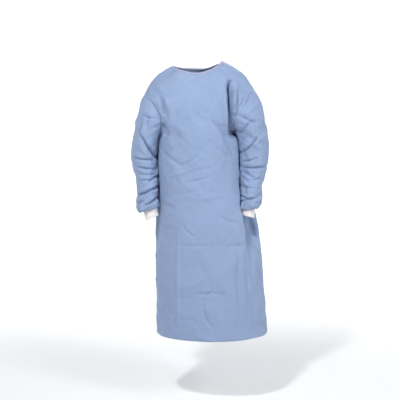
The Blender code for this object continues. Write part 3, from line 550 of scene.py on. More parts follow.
# %% Rows of the body
ARM_MARGIN = 0.007
HALF_POINTS = 49


def clear_of_sleeves(points):
    """Presses body points back and inwards where a hanging sleeve lies."""
    for rows, side in ((LEFT_SLEEVE, 1.0), (RIGHT_SLEEVE, -1.0)):
        heights = sorted(rows[1:10], key=lambda row: row.inner_z)
        below, above = heights[0].inner_z, heights[-1].inner_z
        for point in points:
            fade = float(eased((rows[0].inner_z - point[2]) / 0.03) * eased((point[2] - below + 0.24) / 0.20))
            if fade <= 0:
                continue
            z = max(below, min(above, point[2]))
            columns = ("inner_x", "outer_x", "front", "back")
            inner, outer, front, back = (smooth_through(heights, "inner_z", column, z) for column in columns)
            half = np.array((abs(outer - inner) / 2, (back - front) / 2)) + ARM_MARGIN
            aside = np.array((-0.8 * side, 0.6)) / half
            offset = (point[:2] - np.array(((inner + outer) / 2, (front + back) / 2))) / half
            a, b, c = aside @ aside, offset @ aside, offset @ offset - 1
            if c < 0:
                point[:2] += np.array((-0.8 * side, 0.6)) * (-b + math.sqrt(b * b - a * c)) / a * fade
    return points


def half_row(rise, side, facing):
    """Half a row of the body, from the middle to one end: its points, and how far along it each lies."""
    face = "front" if facing < 0 else "back"
    centre = np.array([smooth_through(CENTRE, "rise", column, rise) for column in ("x", face, face + "_z")])
    reach = math.radians(smooth_through(CENTRE, "rise", "reach", rise))
    power = 2 / smooth_through(CENTRE, "rise", "square", rise)
    arc = np.linspace(0.0, reach, HALF_POINTS)
    sideways = np.sin(arc) ** power / math.sin(reach) ** power
    inward = (1 - np.cos(arc).clip(0.0) ** power) / (1 - max(0.0, math.cos(reach)) ** power)
    share = np.stack([sideways, inward, (inward + sideways**2) / 2], axis=1)
    points = clear_of_sleeves(centre + (seam_end(rise, side, facing) - centre) * share)
    steps = np.linalg.norm(np.diff(points, axis=0), axis=1)
    return points, np.concatenate([[0.0], np.cumsum(steps)])


def body_row(rise, places, facing):
    """Points of the body at one rise. Places run from -1 at the right seam to 1 at the left."""
    row = np.empty((len(places), 3))
    for side in (-1.0, 1.0):
        points, along = half_row(rise, side, facing)
        chosen = (places < 0) if side < 0 else (places >= 0)
        wanted = np.abs(places[chosen]) * along[-1]
        row[chosen] = np.stack([np.interp(wanted, along, points[:, axis]) for axis in range(3)], axis=1)
    return row


waist = half_row(0.75, 1.0, -1)
print("at the waist", round(waist[1][-1], 3), "m of cloth from the middle of the front to the left side seam")

# %% [markdown]
# ## Folds placed one by one
#
# Real cloth shows where it is pulled: from the armholes, across the chest, in the bend of the elbow and
# above the cuffs. Each fold here is a line seen square on, from one end to the other. It bows aside in its
# middle, dies out at both ends, and has its own half width and depth. A trough pushes up a soft lip on both
# of its sides, as bent cloth does, and its pinch draws the lips together, so a deep fold closes to a dark
# slit. A depth below zero is a ridge.

# %% Folds of the front
Fold = namedtuple("Fold", "x_from z_from x_to z_to bow width depth pinch", defaults=(0.35,))


def fold_table(*rows):
    """Folds from rows in millimetres: both ends, bow, half width, depth and, where it isn't 0.35, pinch."""
    return [Fold(*(size / 1000 for size in row[:7]), *row[7:]) for row in rows]


FRONT_FOLDS = fold_table(
    # beside the left armhole: a deep slit with a bright ridge on each side
    (141, -80, 153, -310, 6, 13, 62, 0.76),
    (160, -116, 160, -222, 3, 7, -8),
    (177, -128, 165, -215, -3, 7, 13, 0.6),
    (120, -120, 126, -300, 6, 12, -6),
    (150, -255, 158, -330, 4, 8, 10, 0.5),
    # beside the right armhole
    (-166, -100, -116, -206, -6, 10, -7),
    (-154, -150, -140, -230, -4, 8, 9, 0.5),
    (-133, -160, -126, -240, 4, 8, 6),
    (-119, -150, -122, -300, -10, 12, -6),
    (-150, -265, -134, -325, -4, 10, 12, 0.5),
    # across the chest
    (-162, -366, -56, -448, 6, 8, 4.5, 0.4),
    (-80, -448, 12, -392, 6, 8, 3, 0.4),
    (56, -250, 158, -392, -12, 12, 8, 0.45),
    (40, -330, 150, -450, -10, 13, 5),
    (-120, -486, -10, -452, 4, 7, -3.5),
    (-20, -462, 90, -440, 4, 7, 3),
    (-60, -516, 72, -482, 4, 7, 4, 0.45),
    (-100, -566, 30, -540, 3, 7, 3),
    (-10, -590, 130, -566, -4, 8, -3),
    (-154, -600, -90, -630, 0, 10, 5),
    (80, -640, 170, -690, 6, 11, 5),
    # down the skirt, with the creases it was packed with
    (-90, -780, 100, -776, 0, 6, 4, 0.45),
    (100, -776, 230, -782, 0, 6, 3, 0.45),
    (-80, -720, -82, -1130, 0, 8, -6),
    (196, -740, 202, -1160, 0, 8, -7),
    (174, -760, 182, -1150, 3, 18, 5),
    (232, -800, 250, -1190, 0, 14, 6),
    (-128, -700, -134, -1120, 4, 16, 4),
    (-34, -984, 120, -974, 0, 7, 4, 0.45),
    (-100, -1004, 10, -1000, 0, 7, 3, 0.45),
    (26, -1016, 74, -1130, 14, 9, 5, 0.45),
    (-78, -1094, 0, -1086, 0, 8, 3),
    (230, -1100, 296, -1112, 2, 8, -4),
    (10, -968, 62, -958, 2, 6, -3),
    (62, -958, 16, -1020, -4, 6, 3),
    (212, -910, 246, -1060, 6, 8, 4, 0.4),
    (246, -880, 222, -990, -4, 7, -3),
    (-66, -690, -10, -742, 4, 7, 4, 0.4),
    (-20, -1080, 60, -1140, -6, 7, -3),
)
print(len(FRONT_FOLDS), "folds, the deepest", max(fold.depth for fold in FRONT_FOLDS), "m")

# %% Folds of the back
BACK_FOLDS = fold_table(
    (128, -120, 134, -290, 6, 11, 15, 0.6),
    (-124, -140, -128, -300, -6, 11, 15, 0.6),
    (106, -150, 112, -310, 4, 10, -6),
    (-104, -170, -106, -310, -4, 10, -5),
    (-110, -330, 20, -400, 8, 11, 6),
    (-110, -480, 80, -400, 10, 11, 7, 0.45),
    (-110, -500, 110, -500, 8, 11, 8, 0.45),
    (-110, -530, 100, -610, 10, 12, 6, 0.45),
    (-100, -560, 40, -690, 12, 13, 5),
    (20, -560, 30, -1250, 0, 22, -10),
    (60, -540, 72, -1250, 4, 16, 9),
    (112, -600, 134, -1250, 0, 20, -9),
    (160, -640, 196, -1250, 4, 18, 9),
    (-46, -570, -50, -1250, 3, 18, 10),
    (-106, -640, -116, -1250, 0, 18, -7),
    (220, -700, 256, -1250, 0, 18, 8),
    (-60, -780, 110, -776, 0, 6, 3, 0.45),
    (-60, -984, 130, -976, 0, 6, 3, 0.45),
)
print(len(BACK_FOLDS), "folds on the back")

# %% Folds of the sleeves
LEFT_SLEEVE_FRONT_FOLDS = fold_table(
    (236, -130, 186, -200, -4, 6.5, 10, 0.62),
    (262, -165, 190, -235, -6, 7.2, -4.8),
    (192, -236, 262, -262, 6, 8.6, 7, 0.45),
    (186, -310, 246, -250, -6, 8.6, 8, 0.45),
    (186, -392, 262, -318, 6, 6.5, 11, 0.62),
    (240, -352, 300, -300, 4, 7.2, -4),
    (196, -426, 262, -410, 2, 5.8, 8, 0.57),
    (192, -452, 308, -444, 4, 6.5, 12, 0.67),
    (190, -466, 244, -494, 0, 6.5, 9, 0.62),
    (230, -506, 296, -486, 4, 7.2, 6, 0.45),
    (186, -528, 244, -538, 4, 6.5, 7, 0.57),
    (182, -566, 262, -574, 14, 5.8, 11, 0.62),
    (236, -556, 292, -546, 4, 5.8, -4),
    (182, -598, 234, -580, 0, 5, 10, 0.62),
    (246, -608, 292, -588, 0, 5, 10, 0.62),
)
LEFT_SLEEVE_BACK_FOLDS = fold_table(
    (196, -180, 262, -160, 6, 7.2, 8, 0.45),
    (190, -330, 270, -230, 10, 7.9, 10, 0.62),
    (190, -386, 294, -330, 6, 7.2, 8, 0.57),
    (190, -430, 300, -405, 6, 6.5, 10, 0.62),
    (190, -470, 290, -452, 4, 6.5, 6, 0.45),
    (190, -520, 290, -500, 4, 6.5, 10, 0.62),
    (190, -570, 280, -592, 6, 5.8, 10, 0.62),
)
RIGHT_SLEEVE_FRONT_FOLDS = fold_table(
    (-240, -225, -244, -320, 0, 6.5, 13, 0.67),
    (-244, -214, -184, -242, 6, 6.5, 7, 0.57),
    (-216, -270, -206, -236, 3, 5.8, 6, 0.45),
    (-224, -250, -232, -320, 0, 6.5, -4.8),
    (-248, -300, -158, -424, 6, 7.2, 18, 0.72),
    (-262, -330, -190, -420, 6, 7.9, -4.8),
    (-276, -408, -186, -418, 4, 5.8, 9, 0.62),
    (-264, -446, -170, -457, 4, 5.8, 9, 0.62),
    (-250, -480, -170, -478, 4, 6.5, 7, 0.45),
    (-236, -508, -158, -492, 2, 6.5, 8, 0.57),
    (-152, -482, -206, -520, 8, 5.8, 12, 0.62),
    (-266, -572, -154, -524, 5, 5.8, 18, 0.72),
    (-244, -545, -180, -522, 3, 5.8, -4),
    (-222, -612, -158, -570, 4, 5.8, 13, 0.62),
    (-258, -606, -226, -590, 0, 5, 8, 0.57),
)
RIGHT_SLEEVE_BACK_FOLDS = fold_table(
    (-186, -200, -244, -180, 6, 7.2, 8, 0.45),
    (-180, -340, -250, -250, 10, 7.9, 10, 0.62),
    (-180, -400, -274, -346, 6, 7.2, 8, 0.57),
    (-180, -440, -276, -408, 6, 6.5, 10, 0.62),
    (-176, -500, -264, -462, 6, 6.5, 9, 0.62),
    (-176, -530, -262, -522, 4, 6.5, 6, 0.45),
    (-176, -570, -256, -596, 6, 5.8, 10, 0.62),
)
print(len(LEFT_SLEEVE_FRONT_FOLDS + RIGHT_SLEEVE_FRONT_FOLDS), "folds on the sleeves' fronts")

# %% [markdown]
# Besides the large folds, thin nonwoven keeps a memory of how it was packed and worn: shallow facets with
# soft edges between them. Noise whose sign is dropped has just such creases where it passes zero.

# %% Folds and crumples as moves
LIP = 0.24  # how high a trough's lips stand, as a share of its depth


def fold_moves(folds, x, z):
    """How deep the folds press the cloth in, and how far they draw it aside, at points seen square on."""
    deep, aside = np.zeros_like(x), np.zeros((*x.shape, 2))
    for fold in folds:
        run = np.array((fold.x_to - fold.x_from, fold.z_to - fold.z_from))
        length = math.hypot(*run)
        along = ((x - fold.x_from) * run[0] + (z - fold.z_from) * run[1]) / length**2
        across = ((x - fold.x_from) * run[1] - (z - fold.z_from) * run[0]) / length
        arch = np.clip(4 * along * (1 - along), 0.0, 1.0)
        off = (across - fold.bow * arch) / fold.width
        far = np.abs(off)
        deep += fold.depth * np.sqrt(arch) * (np.exp(-(far**1.25)) - LIP * bell(far - 2.0, 0.9))
        if fold.depth > 0:
            drawn = -fold.pinch * off * fold.width * bell(off, 1.7) * np.sqrt(arch)
            aside += drawn[..., None] * np.array((run[1], -run[0])) / length
    return deep, aside


def folds_on(points, normals, share, folds):
    """The move that the folds give to each point, where share says how much of it applies."""
    deep, aside = fold_moves(folds, points[..., 0], points[..., 2])
    slide = np.stack([aside[..., 0], 0 * deep, aside[..., 1]], axis=-1)
    slide -= (slide * normals).sum(axis=-1, keepdims=True) * normals
    return (slide - normals * deep[..., None]) * share[..., None]


def crumple(across, along, size, seed):
    """Shallow facets with soft creases between them, from -1 to 1, over the cloth's own two directions."""
    flat = np.stack([across / size, along / size], axis=-1).reshape(-1, 2)
    places = [(a + 0.35 * math.sin(b), b + 0.3 * math.sin(1.3 * a), seed) for a, b in flat]
    waves = [noise.noise(Vector(place)) for place in places]
    return (1 - 4 * np.sqrt(np.array(waves) ** 2 + 0.02**2)).reshape(across.shape)


print("a fold's lips stand", LIP, "of its depth above the cloth")

# %% [markdown]
# ## From grids to cloth
#
# Each piece is a grid of points. Its faces join neighbours, and its UV map is measured in metres along the
# cloth, so a pattern keeps its size everywhere. Two more numbers are kept at every point for the stitching:
# how far it is from the nearest sewn side, and from the hem. Solidify then gives the sheet its thickness.

# %% Grids
def grid_normals(points, closed):
    """Unit normals of a grid of points, outwards. A closed grid's columns run right round."""
    if closed:
        wrapped = np.concatenate([points[:, -1:], points, points[:, :1]], axis=1)
        around = (wrapped[:, 2:] - wrapped[:, :-2]) / 2
    else:
        around = np.gradient(points, axis=1)
    return unit(np.cross(around, np.gradient(points, axis=0)))


def refined(points, rows_at, columns_at):
    """A finer grid on smooth curves through a coarse one."""
    across = np.swapaxes(resampled(points, rows_at), 0, 1)
    return np.swapaxes(resampled(across, columns_at), 0, 1)


def run_of(points, axis):
    """How far along the cloth each point lies, down its column or across its row."""
    steps = np.linalg.norm(np.diff(points, axis=axis), axis=-1)
    start = np.zeros_like(np.take(steps, [0], axis))
    return np.concatenate([start, np.cumsum(steps, axis)], axis)


def tree_of(grids, closed):
    """Several grids as one tree of faces, which finds the nearest place to a point or where a ray hits."""
    points, faces = [], []
    for grid in grids:
        first = len(points)
        points += [tuple(p) for p in grid.reshape(-1, 3)]
        faces += [tuple(first + corner for corner in face) for face in grid_faces(*grid.shape[:2], closed)]
    return BVHTree.FromPolygons(points, faces)


print("grid helpers ready")

# %% Cloth objects
CLOTH = 0.0008  # thickness of the nonwoven, hem and seams included


def cloth(name, points, closed, thickness=CLOTH, across=None, along=None, marks=None):
    """A sheet from a grid of points, with its UV map in metres and its marks, made solid."""
    rows, columns = points.shape[:2]
    mesh = bpy.data.meshes.new(name)
    mesh.from_pydata([tuple(p) for p in points.reshape(-1, 3)], [], grid_faces(rows, columns, closed))
    across = run_of(points, 1) if across is None else across
    along = run_of(points, 0) if along is None else along
    corners = np.array([loop.vertex_index for loop in mesh.loops])
    u, v = across.reshape(-1)[corners], along.reshape(-1)[corners]
    if closed:  # the last strip of faces runs back to the first column
        width = np.linalg.norm(points[:, 0] - points[:, -1], axis=-1).mean()
        last = np.repeat((np.arange(len(mesh.polygons)) % columns) == columns - 1, 4)
        u = np.where(last & (corners % columns == 0), across[:, -1].mean() + width, u)
    uv = mesh.uv_layers.new(name="cloth")
    uv.data.foreach_set("uv", np.stack([u, v], axis=1).astype(np.float32).ravel())
    for mark, values in (marks or {}).items():
        kept = mesh.attributes.new(mark, "FLOAT", "POINT")
        kept.data.foreach_set("value", values.astype(np.float32).ravel())
    mesh.shade_smooth()
    made = bpy.data.objects.new(name, mesh)
    bpy.context.scene.collection.objects.link(made)
    thicken(made, thickness)
    return made


def thicken(made, thickness):
    """Gives a sheet its thickness, inwards, and keeps the result."""
    solid = made.modifiers.new("thickness", "SOLIDIFY")
    solid.thickness, solid.offset, solid.use_even_offset = thickness, -1.0, False
    bpy.ops.object.select_all(action="DESELECT")
    made.select_set(True)
    bpy.context.view_layer.objects.active = made
    bpy.ops.object.modifier_apply(modifier="thickness")
    made.data.shade_smooth()


print("cloth is", CLOTH * 1000, "mm thick")

# %% [markdown]
# ## The sleeves
#
# A sleeve comes first, because the body's cloth then keeps clear of it. It follows the table's rings in a
# smooth chain, with a point about every three and a half millimetres. Its folds fade out at the armhole and
# near the cuff, where gathers take over: the wide sleeve is drawn together to fit the narrow knit.

# %% Sleeves
ARMHOLE_STEPS, SLEEVE_STEPS = 12, 22  # per half ring, and down the sleeve
AROUND, DOWN = 7, 8  # how many times finer the cloth is
GATHER_DEPTH = 0.0020  # above the cuff
TURNED_IN, TURNED_ON = 0.0028, 0.0034  # how far the seam allowance turns in, and goes on towards the body


def sleeve_grid(rows, side, front_folds, back_folds, seed):
    """The outside of a sleeve, from its turned end up to the armhole."""
    alongs = np.linspace(len(rows) - 1.0, 0.0, SLEEVE_STEPS * DOWN + 1)
    steps = np.linspace(0.0, 2 * math.pi, 2 * ARMHOLE_STEPS * AROUND + 1)[:-1]
    angles = -steps if side > 0 else steps
    points = np.array([sleeve_ring(rows, along, angles) for along in alongs])
    normals = grid_normals(points, True)
    fade = (eased(alongs / 0.45) * eased((len(rows) - 2.0 - alongs) / 0.8))[:, None]
    move = folds_on(points, normals, fade * eased(0.5 - normals[..., 1] * 1.4), front_folds)
    move += folds_on(points, normals, fade * eased(0.5 + normals[..., 1] * 1.4), back_folds)
    gathered = eased((alongs - 7.2) / 2.0) * eased((len(rows) - 1.05 - alongs) / 0.9)
    waves = np.sin(9 * angles + 0.9 * np.sin(3 * angles) + seed)
    waves += 0.6 * np.sin(21 * angles + 2 * np.sin(2 * angles))
    # Noise on a circle of the sleeve's own size has no break where the ring closes.
    round_x = 0.07 * np.cos(angles)[None] + 0 * alongs[:, None]
    round_y = 0.07 * np.sin(angles)[None] + 0 * alongs[:, None]
    height = run_of(points, 0)
    rough = 0.0024 * crumple(round_x + round_y * 0.6, height + round_y, 0.060, seed)
    rough += 0.0008 * crumple(round_x - round_y * 0.8, height * 1.3 + round_y, 0.024, seed + 5)
    out = rough * fade - GATHER_DEPTH * gathered[:, None] * waves[None]
    return points + move + normals * out[..., None]


def with_allowance(points):
    """A sleeve with a narrow seam allowance at its armhole, which lies inside the body's panels."""
    armhole = points[-1]
    inwards = unit(armhole.mean(axis=0) - armhole)
    turned = armhole + TURNED_IN * inwards - np.sign(armhole[:1, :1]) * (TURNED_ON, 0, 0)
    return np.concatenate([points, turned[None]])


left_sleeve = sleeve_grid(LEFT_SLEEVE, 1, LEFT_SLEEVE_FRONT_FOLDS, LEFT_SLEEVE_BACK_FOLDS, 1.0)
right_sleeve = sleeve_grid(RIGHT_SLEEVE, -1, RIGHT_SLEEVE_FRONT_FOLDS, RIGHT_SLEEVE_BACK_FOLDS, 2.0)
sleeves = {}
for name, points in (("sleeve_left", left_sleeve), ("sleeve_right", right_sleeve)):
    length, around = run_of(points, 0), run_of(points, 1)
    underarm = np.abs(around - around[:, [points.shape[1] // 2]])
    marks = {"side": np.minimum(length[-1] - length, underarm), "hem": length + 1.0}
    marks = {mark: np.concatenate([values, values[-1:]]) for mark, values in marks.items()}
    sleeves[name] = cloth("gown_" + name, with_allowance(points), True, marks=marks)
    print(name, len(sleeves[name].data.polygons), "faces,", round(float(length[-1].max()), 3), "m long")

# %% [markdown]
# ## The knitted cuffs
#
# A cuff is a short tube of ribbed knit, white against the blue, sewn inside the sleeve's turned end. Its
# ribs are modelled, because they show in outline, and the tiny loops of the knit are left to the material.
# The lower end rolls a little outwards, as the free edge of a knit does.

# %% Cuffs
CUFF_RIBS, RIB_HEIGHT, CUFF_WALL = 28, 0.0009, 0.0016
CUFF_INSIDE, CUFF_ROLL = 0.001, 0.0006  # how far inside the sleeve's end it sits, and its rolled edge's rise


def cuff_grid(rows, end, side):
    """The outside of a cuff, from its free lower end up into the sleeve."""
    top = np.array(rows[-1][:6])
    turn = -2 * math.pi * np.arange(CUFF_RIBS * 8) / (CUFF_RIBS * 8) * side
    rings = []
    for share in np.linspace(1.0, 0.0, 25):
        inner_x, inner_z, outer_x, outer_z, front, back = top + (np.array(end) - top) * share
        rolled = CUFF_ROLL * bell(1 - share, 0.06)
        ribs = RIB_HEIGHT * (0.5 - 0.5 * np.cos(CUFF_RIBS * turn + 0.25 * np.sin(3 * turn))) ** 1.4
        uneven = 0.0005 * np.sin(5 * turn + 3 * share) * share
        scale = 1 - (ribs + uneven * 0.6 - rolled + 0.0006) / ((back - front) / 2)
        x = (inner_x + outer_x) / 2 + ((outer_x - inner_x) / 2 - side * CUFF_INSIDE) * np.cos(turn) * scale
        y = (front + back) / 2 - ((back - front) / 2 - CUFF_INSIDE) * np.sin(turn) * scale
        z = (inner_z + outer_z) / 2 + (outer_z - inner_z) / 2 * np.cos(turn) * scale
        rings.append(np.stack([x, y, z], axis=1))
    return np.array(rings)


cuffs, cuff_grids = {}, []
for name, rows, end, side in (
    ("cuff_left", LEFT_SLEEVE, LEFT_CUFF_END, 1),
    ("cuff_right", RIGHT_SLEEVE, RIGHT_CUFF_END, -1),
):
    points = cuff_grid(rows, end, side)
    cuff_grids.append(points)
    cuffs[name] = cloth("gown_" + name, points, True, CUFF_WALL)
    round_about = float(run_of(points, 1)[0, -1])
    print(name, len(cuffs[name].data.polygons), "faces, about", round(round_about, 3), "m round")

# %% [markdown]
# ## The body's cloth
#
# The front and the two back panels come from the same rows. A panel is worked out on a coarse grid, refined,
# folded, and then moved out of the sleeves wherever it would touch them. Near the armhole the distance that
# it keeps shrinks to next to nothing, because there it is sewn to the sleeve.

# %% Keep the body clear of the sleeves
ARM_CLEARANCE, SEWN_CLEARANCE = 0.0022, 0.0002  # off a sleeve, and where the two are sewn together
FULL_CLEARANCE_AT, SEAM_KEPT = 0.07, 0.003  # how far from the armhole, and how much beside it isn't moved
UNDERARM_GAP, UNDERARM_REACH = 0.007, 0.06  # the widest gap that is drawn up, and how far from the armhole
arms = tree_of((left_sleeve, right_sleeve, *cuff_grids), True)
armholes = KDTree(2 * left_sleeve.shape[1])
for number, spot in enumerate(np.concatenate([left_sleeve[-1], right_sleeve[-1]])):
    armholes.insert(Vector(spot), number)
armholes.balance()
UNDERARM_Z = {1.0: left_sleeve[-1, :, 2].min(), -1.0: right_sleeve[-1, :, 2].min()}


def keep_clear(points):
    """Moves a panel's points out of the sleeves, by less and less towards the armholes. Just under the arm,
    where cloth lies against cloth, it also draws them up to the sleeve, so that no light comes through."""
    moved = 0
    for at in np.ndindex(points.shape[:2]):
        point = Vector(points[at])
        place, normal, _, distance = arms.find_nearest(point, 0.03)
        if place is None:
            continue
        away = armholes.find(point)[2]
        needed = SEWN_CLEARANCE + ARM_CLEARANCE * float(eased(away / FULL_CLEARANCE_AT))
        over = (point - place).dot(normal)
        beside = distance > 0.002 and abs(over) < 0.8 * distance
        under = point.z < UNDERARM_Z[math.copysign(1.0, point.x)] + 0.002
        if away > SEAM_KEPT and over < needed and not beside and armholes.find(place)[2] > 0.0026:
            points[at] = place + normal * needed
            moved += 1
        elif under and over - needed < UNDERARM_GAP and distance < 0.009 and away < UNDERARM_REACH:
            points[at] = point.lerp(place + normal * needed, float(eased(1.2 - away / 0.05)))
            moved += 1
    return moved


print("undersides of the armholes at", {side: round(float(z), 3) for side, z in UNDERARM_Z.items()})

# %% Levels and columns of the panels
SKIRT_STEPS, SHOULDER_STEPS = 26, 4
LEVELS = np.concatenate([
    np.linspace(0.0, UNDERARM, SKIRT_STEPS + 1) ** 0.85,
    np.linspace(UNDERARM, TIP, ARMHOLE_STEPS + 1)[1:],
    np.linspace(TIP, NECK, SHOULDER_STEPS + 1)[1:],
])
ROWS_AT = np.concatenate([
    np.linspace(0, SKIRT_STEPS, SKIRT_STEPS * 6 + 1),
    np.linspace(SKIRT_STEPS, SKIRT_STEPS + ARMHOLE_STEPS, ARMHOLE_STEPS * 4 + 1)[1:],
    np.linspace(SKIRT_STEPS + ARMHOLE_STEPS, len(LEVELS) - 1, SHOULDER_STEPS * 6 + 1)[1:],
])
TIP_ROW = SKIRT_STEPS * 6 + ARMHOLE_STEPS * 4
TIP_REACH, TAUT_REACH = 0.100, 0.072  # how far from a shoulder's tip the cloth is evened out, and drawn taut
TIP_STEPS, TAUT_STEPS = 400, 220


def beside_mean(values):
    """How far the mean of each inner point's four neighbours lies from it."""
    around = values[:-2, 1:-1] + values[2:, 1:-1] + values[1:-1, :-2] + values[1:-1, 2:]
    return around / 4 - values[1:-1, 1:-1]


def calmed(points):
    """Eases the crease that starts at a shoulder's tip, where the armhole turns into the shoulder seam. It
    evens out how the cloth bends from point to point, which takes nothing off its roundness. Close to the tip
    it then draws the cloth taut."""
    near_tip = points[TIP_ROW - 36 :]
    for edge in (0, -1):
        away = np.linalg.norm(near_tip - points[TIP_ROW, edge], axis=-1)
        share = 0.4 * eased(1.15 - away / TIP_REACH)[1:-1, 1:-1, None]
        bend = np.zeros_like(near_tip)
        for _ in range(TIP_STEPS):
            bend[1:-1, 1:-1] = beside_mean(near_tip)
            near_tip[1:-1, 1:-1] -= share * beside_mean(bend)
        share = 0.9 * eased(1.0 - away / TAUT_REACH)[1:-1, 1:-1, None]
        for _ in range(TAUT_STEPS):
            near_tip[1:-1, 1:-1] += share * beside_mean(near_tip)
    return points


def panel_grid(places, facing, finer):
    """A panel's smooth outside, and where across the body its points lie. Places has a row for each level."""
    coarse = np.array([body_row(rise, row, facing) for rise, row in zip(LEVELS, places)])
    columns_at = np.linspace(0, places.shape[1] - 1, (places.shape[1] - 1) * finer + 1)
    fine_places = refined(places[..., None], ROWS_AT, columns_at)[..., 0]
    return calmed(refined(coarse, ROWS_AT, columns_at)), fine_places


print(len(LEVELS), "levels become", len(ROWS_AT), "rows")

# %% [markdown]
# The front is one wide panel that reaches round to the side seams.

# %% Front panel
CRUMPLES = ((0.0026, 0.120, 0), (0.0011, 0.046, 3), (0.0004, 0.024, 7))  # height, size and seed of the facets


def folded(points, folds, places, seed):
    """A panel with its folds and crumples. Both die out close to the seams."""
    normals = grid_normals(points, False)
    near_seam = eased((1 - np.abs(places)) / 0.04)
    across, along = run_of(points, 1), run_of(points, 0)
    across = across - np.take_along_axis(across, np.abs(places).argmin(axis=1)[:, None], 1)
    rough = sum(height * crumple(across, along, size, seed + more) for height, size, more in CRUMPLES)
    out = normals * (rough * near_seam)[..., None]
    return points + folds_on(points, normals, near_seam, folds) + out, across, along


front_places = np.tile(np.linspace(-1.0, 1.0, 41), (len(LEVELS), 1))
front_smooth, front_at = panel_grid(front_places, -1, 5)
front, front_across, front_along = folded(front_smooth, FRONT_FOLDS, front_at, 11.0)
moved = keep_clear(front)
front_marks = {"side": run_of(front, 1), "hem": run_of(front, 0)}
front_marks["side"] = np.minimum(front_marks["side"], front_marks["side"][:, [-1]] - front_marks["side"])
front_panel = cloth("gown_front", front, False, across=front_across, along=front_along, marks=front_marks)
print("front:", len(front_panel.data.polygons), "faces,", moved, "points kept clear of the sleeves")

# %% [markdown]
# The back is two panels. The left one laps over the right one, and the right one steps in under it.

# %% Back panels
FLAP_STEP, FLAP_LEDGE = 0.0036, 0.16  # how deep the inner flap lies, and how far across it steps in
FLAP_COLUMNS = 21


def flap_places(outer):
    """Where the outer or the inner flap's columns lie, from the wearer's left to the right."""
    rows = []
    for rise in LEVELS:
        reach = smooth_through(CENTRE, "rise", "flap", rise)
        edge_place = reach / half_row(rise, -1.0 if outer else 1.0, 1)[1][-1]
        ends = (1.0, -edge_place) if outer else (edge_place, -1.0)
        rows.append(np.linspace(*ends, FLAP_COLUMNS))
    return np.array(rows)


backs, back_panels, back_smooth = {}, {}, {}
outer_edge = refined(flap_places(True)[:, -1:, None].repeat(2, 1), ROWS_AT, np.array([0.0]))[..., 0]
for name, outer in (("back_left", True), ("back_right", False)):
    smooth, places = panel_grid(flap_places(outer), 1, 4)
    back_smooth[name] = smooth
    points, across, along = folded(smooth, BACK_FOLDS, places, 21.0)
    if not outer:
        step = FLAP_STEP * eased(1.2 - (outer_edge - places) / FLAP_LEDGE)
        points -= grid_normals(points, False) * step[..., None]
    moved = keep_clear(points)
    far = run_of(points, 1)
    left, right = far, far[:, [-1]] - far
    marks = {"side": left if outer else right, "hem": np.minimum(run_of(points, 0), right if outer else left)}
    backs[name] = points
    back_panels[name] = cloth("gown_" + name, points, False, across=across, along=along, marks=marks)
    print(name + ":", len(back_panels[name].data.polygons), "faces,", moved, "points kept clear")

# %% [markdown]
# ## The neck binding
#
# A narrow folded strip closes the neck's raw edge. It is swept round the edge: a rounded profile of a few
# points, placed at every point of the neckline and turned with the cloth.

# %% Binding
BINDING_HEIGHT, BINDING_WALL, BINDING_PROUD = 0.009, 0.0032, 0.0006
BINDING_PROFILE = (  # across the fold: how high, and how far out, as shares of the height and wall
    (0.00, 0.90), (0.12, 1.00), (0.22, 0.93), (0.34, 1.02), (0.60, 1.06), (0.84, 1.00), (0.96, 0.80),
    (1.00, 0.50), (0.96, 0.20), (0.84, 0.02), (0.50, -0.02), (0.12, 0.00), (0.00, 0.10),
)
NECK_EASING = 14  # how often the neckline is smoothed
OUTER_POINTS, INSIDE_ON = 7, 0.012  # on the map the fold's inside lies further on, clear of the stitches


def neck_path():
    """The neckline from the outer flap over the front to the inner flap: points, and the ways up and out."""
    spots, ups, outs = [], [], []
    for points in (backs["back_left"], front, backs["back_right"]):
        normals = grid_normals(points, False)
        for j in range(points.shape[1])[::-1][1 if spots else 0 :]:
            spots.append(points[-1, j])
            ups.append(points[-1, j] - points[-5, j])
            outs.append(normals[-1, j])
    spots, ups, outs = np.array(spots), unit(np.array(ups)), np.array(outs)
    for _ in range(NECK_EASING):
        ups[1:-1] = unit(ups[:-2] + 2 * ups[1:-1] + ups[2:])
        outs[1:-1] = unit(outs[:-2] + 2 * outs[1:-1] + outs[2:])
        spots[1:-1] = (spots[:-2] + 6 * spots[1:-1] + spots[2:]) / 8
    return spots, ups, outs


def binding_mesh():
    """The strip as a mesh with its UV map in metres, and its length."""
    spots, ups, outs = neck_path()
    up = np.array([share for share, _ in BINDING_PROFILE]) * BINDING_HEIGHT
    out = np.array([share for _, share in BINDING_PROFILE]) * BINDING_WALL - BINDING_WALL + BINDING_PROUD
    along = np.concatenate([[0.0], np.cumsum(np.linalg.norm(np.diff(spots, axis=0), axis=1))])
    wave = 0.00035 * np.sin(along * 2 * math.pi / 0.021) * np.sin(along * 2 * math.pi / 0.13 + 1)
    places = spots[:, None] + ups[:, None] * (up + 0.0003)[None, :, None]
    places = places + outs[:, None] * (out[None] + wave[:, None])[..., None]
    count, sides = places.shape[:2]
    ends = [tuple(range(sides)), tuple(range((count - 1) * sides, count * sides))]
    mesh = bpy.data.meshes.new("gown_neck_binding")
    mesh.from_pydata([tuple(p) for p in places.reshape(-1, 3)], [], grid_faces(count, sides, True) + ends)
    corners = np.array([loop.vertex_index for loop in mesh.loops])
    uv = mesh.uv_layers.new(name="cloth")
    around = up + (np.arange(sides) >= OUTER_POINTS) * INSIDE_ON
    places_on_map = np.stack([along[corners // sides], around[corners % sides]], axis=1)
    uv.data.foreach_set("uv", places_on_map.astype(np.float32).ravel())
    solid = bmesh.new()
    solid.from_mesh(mesh)
    bmesh.ops.recalc_face_normals(solid, faces=solid.faces)
    solid.to_mesh(mesh)
    solid.free()
    mesh.shade_smooth()
    return mesh, along[-1]


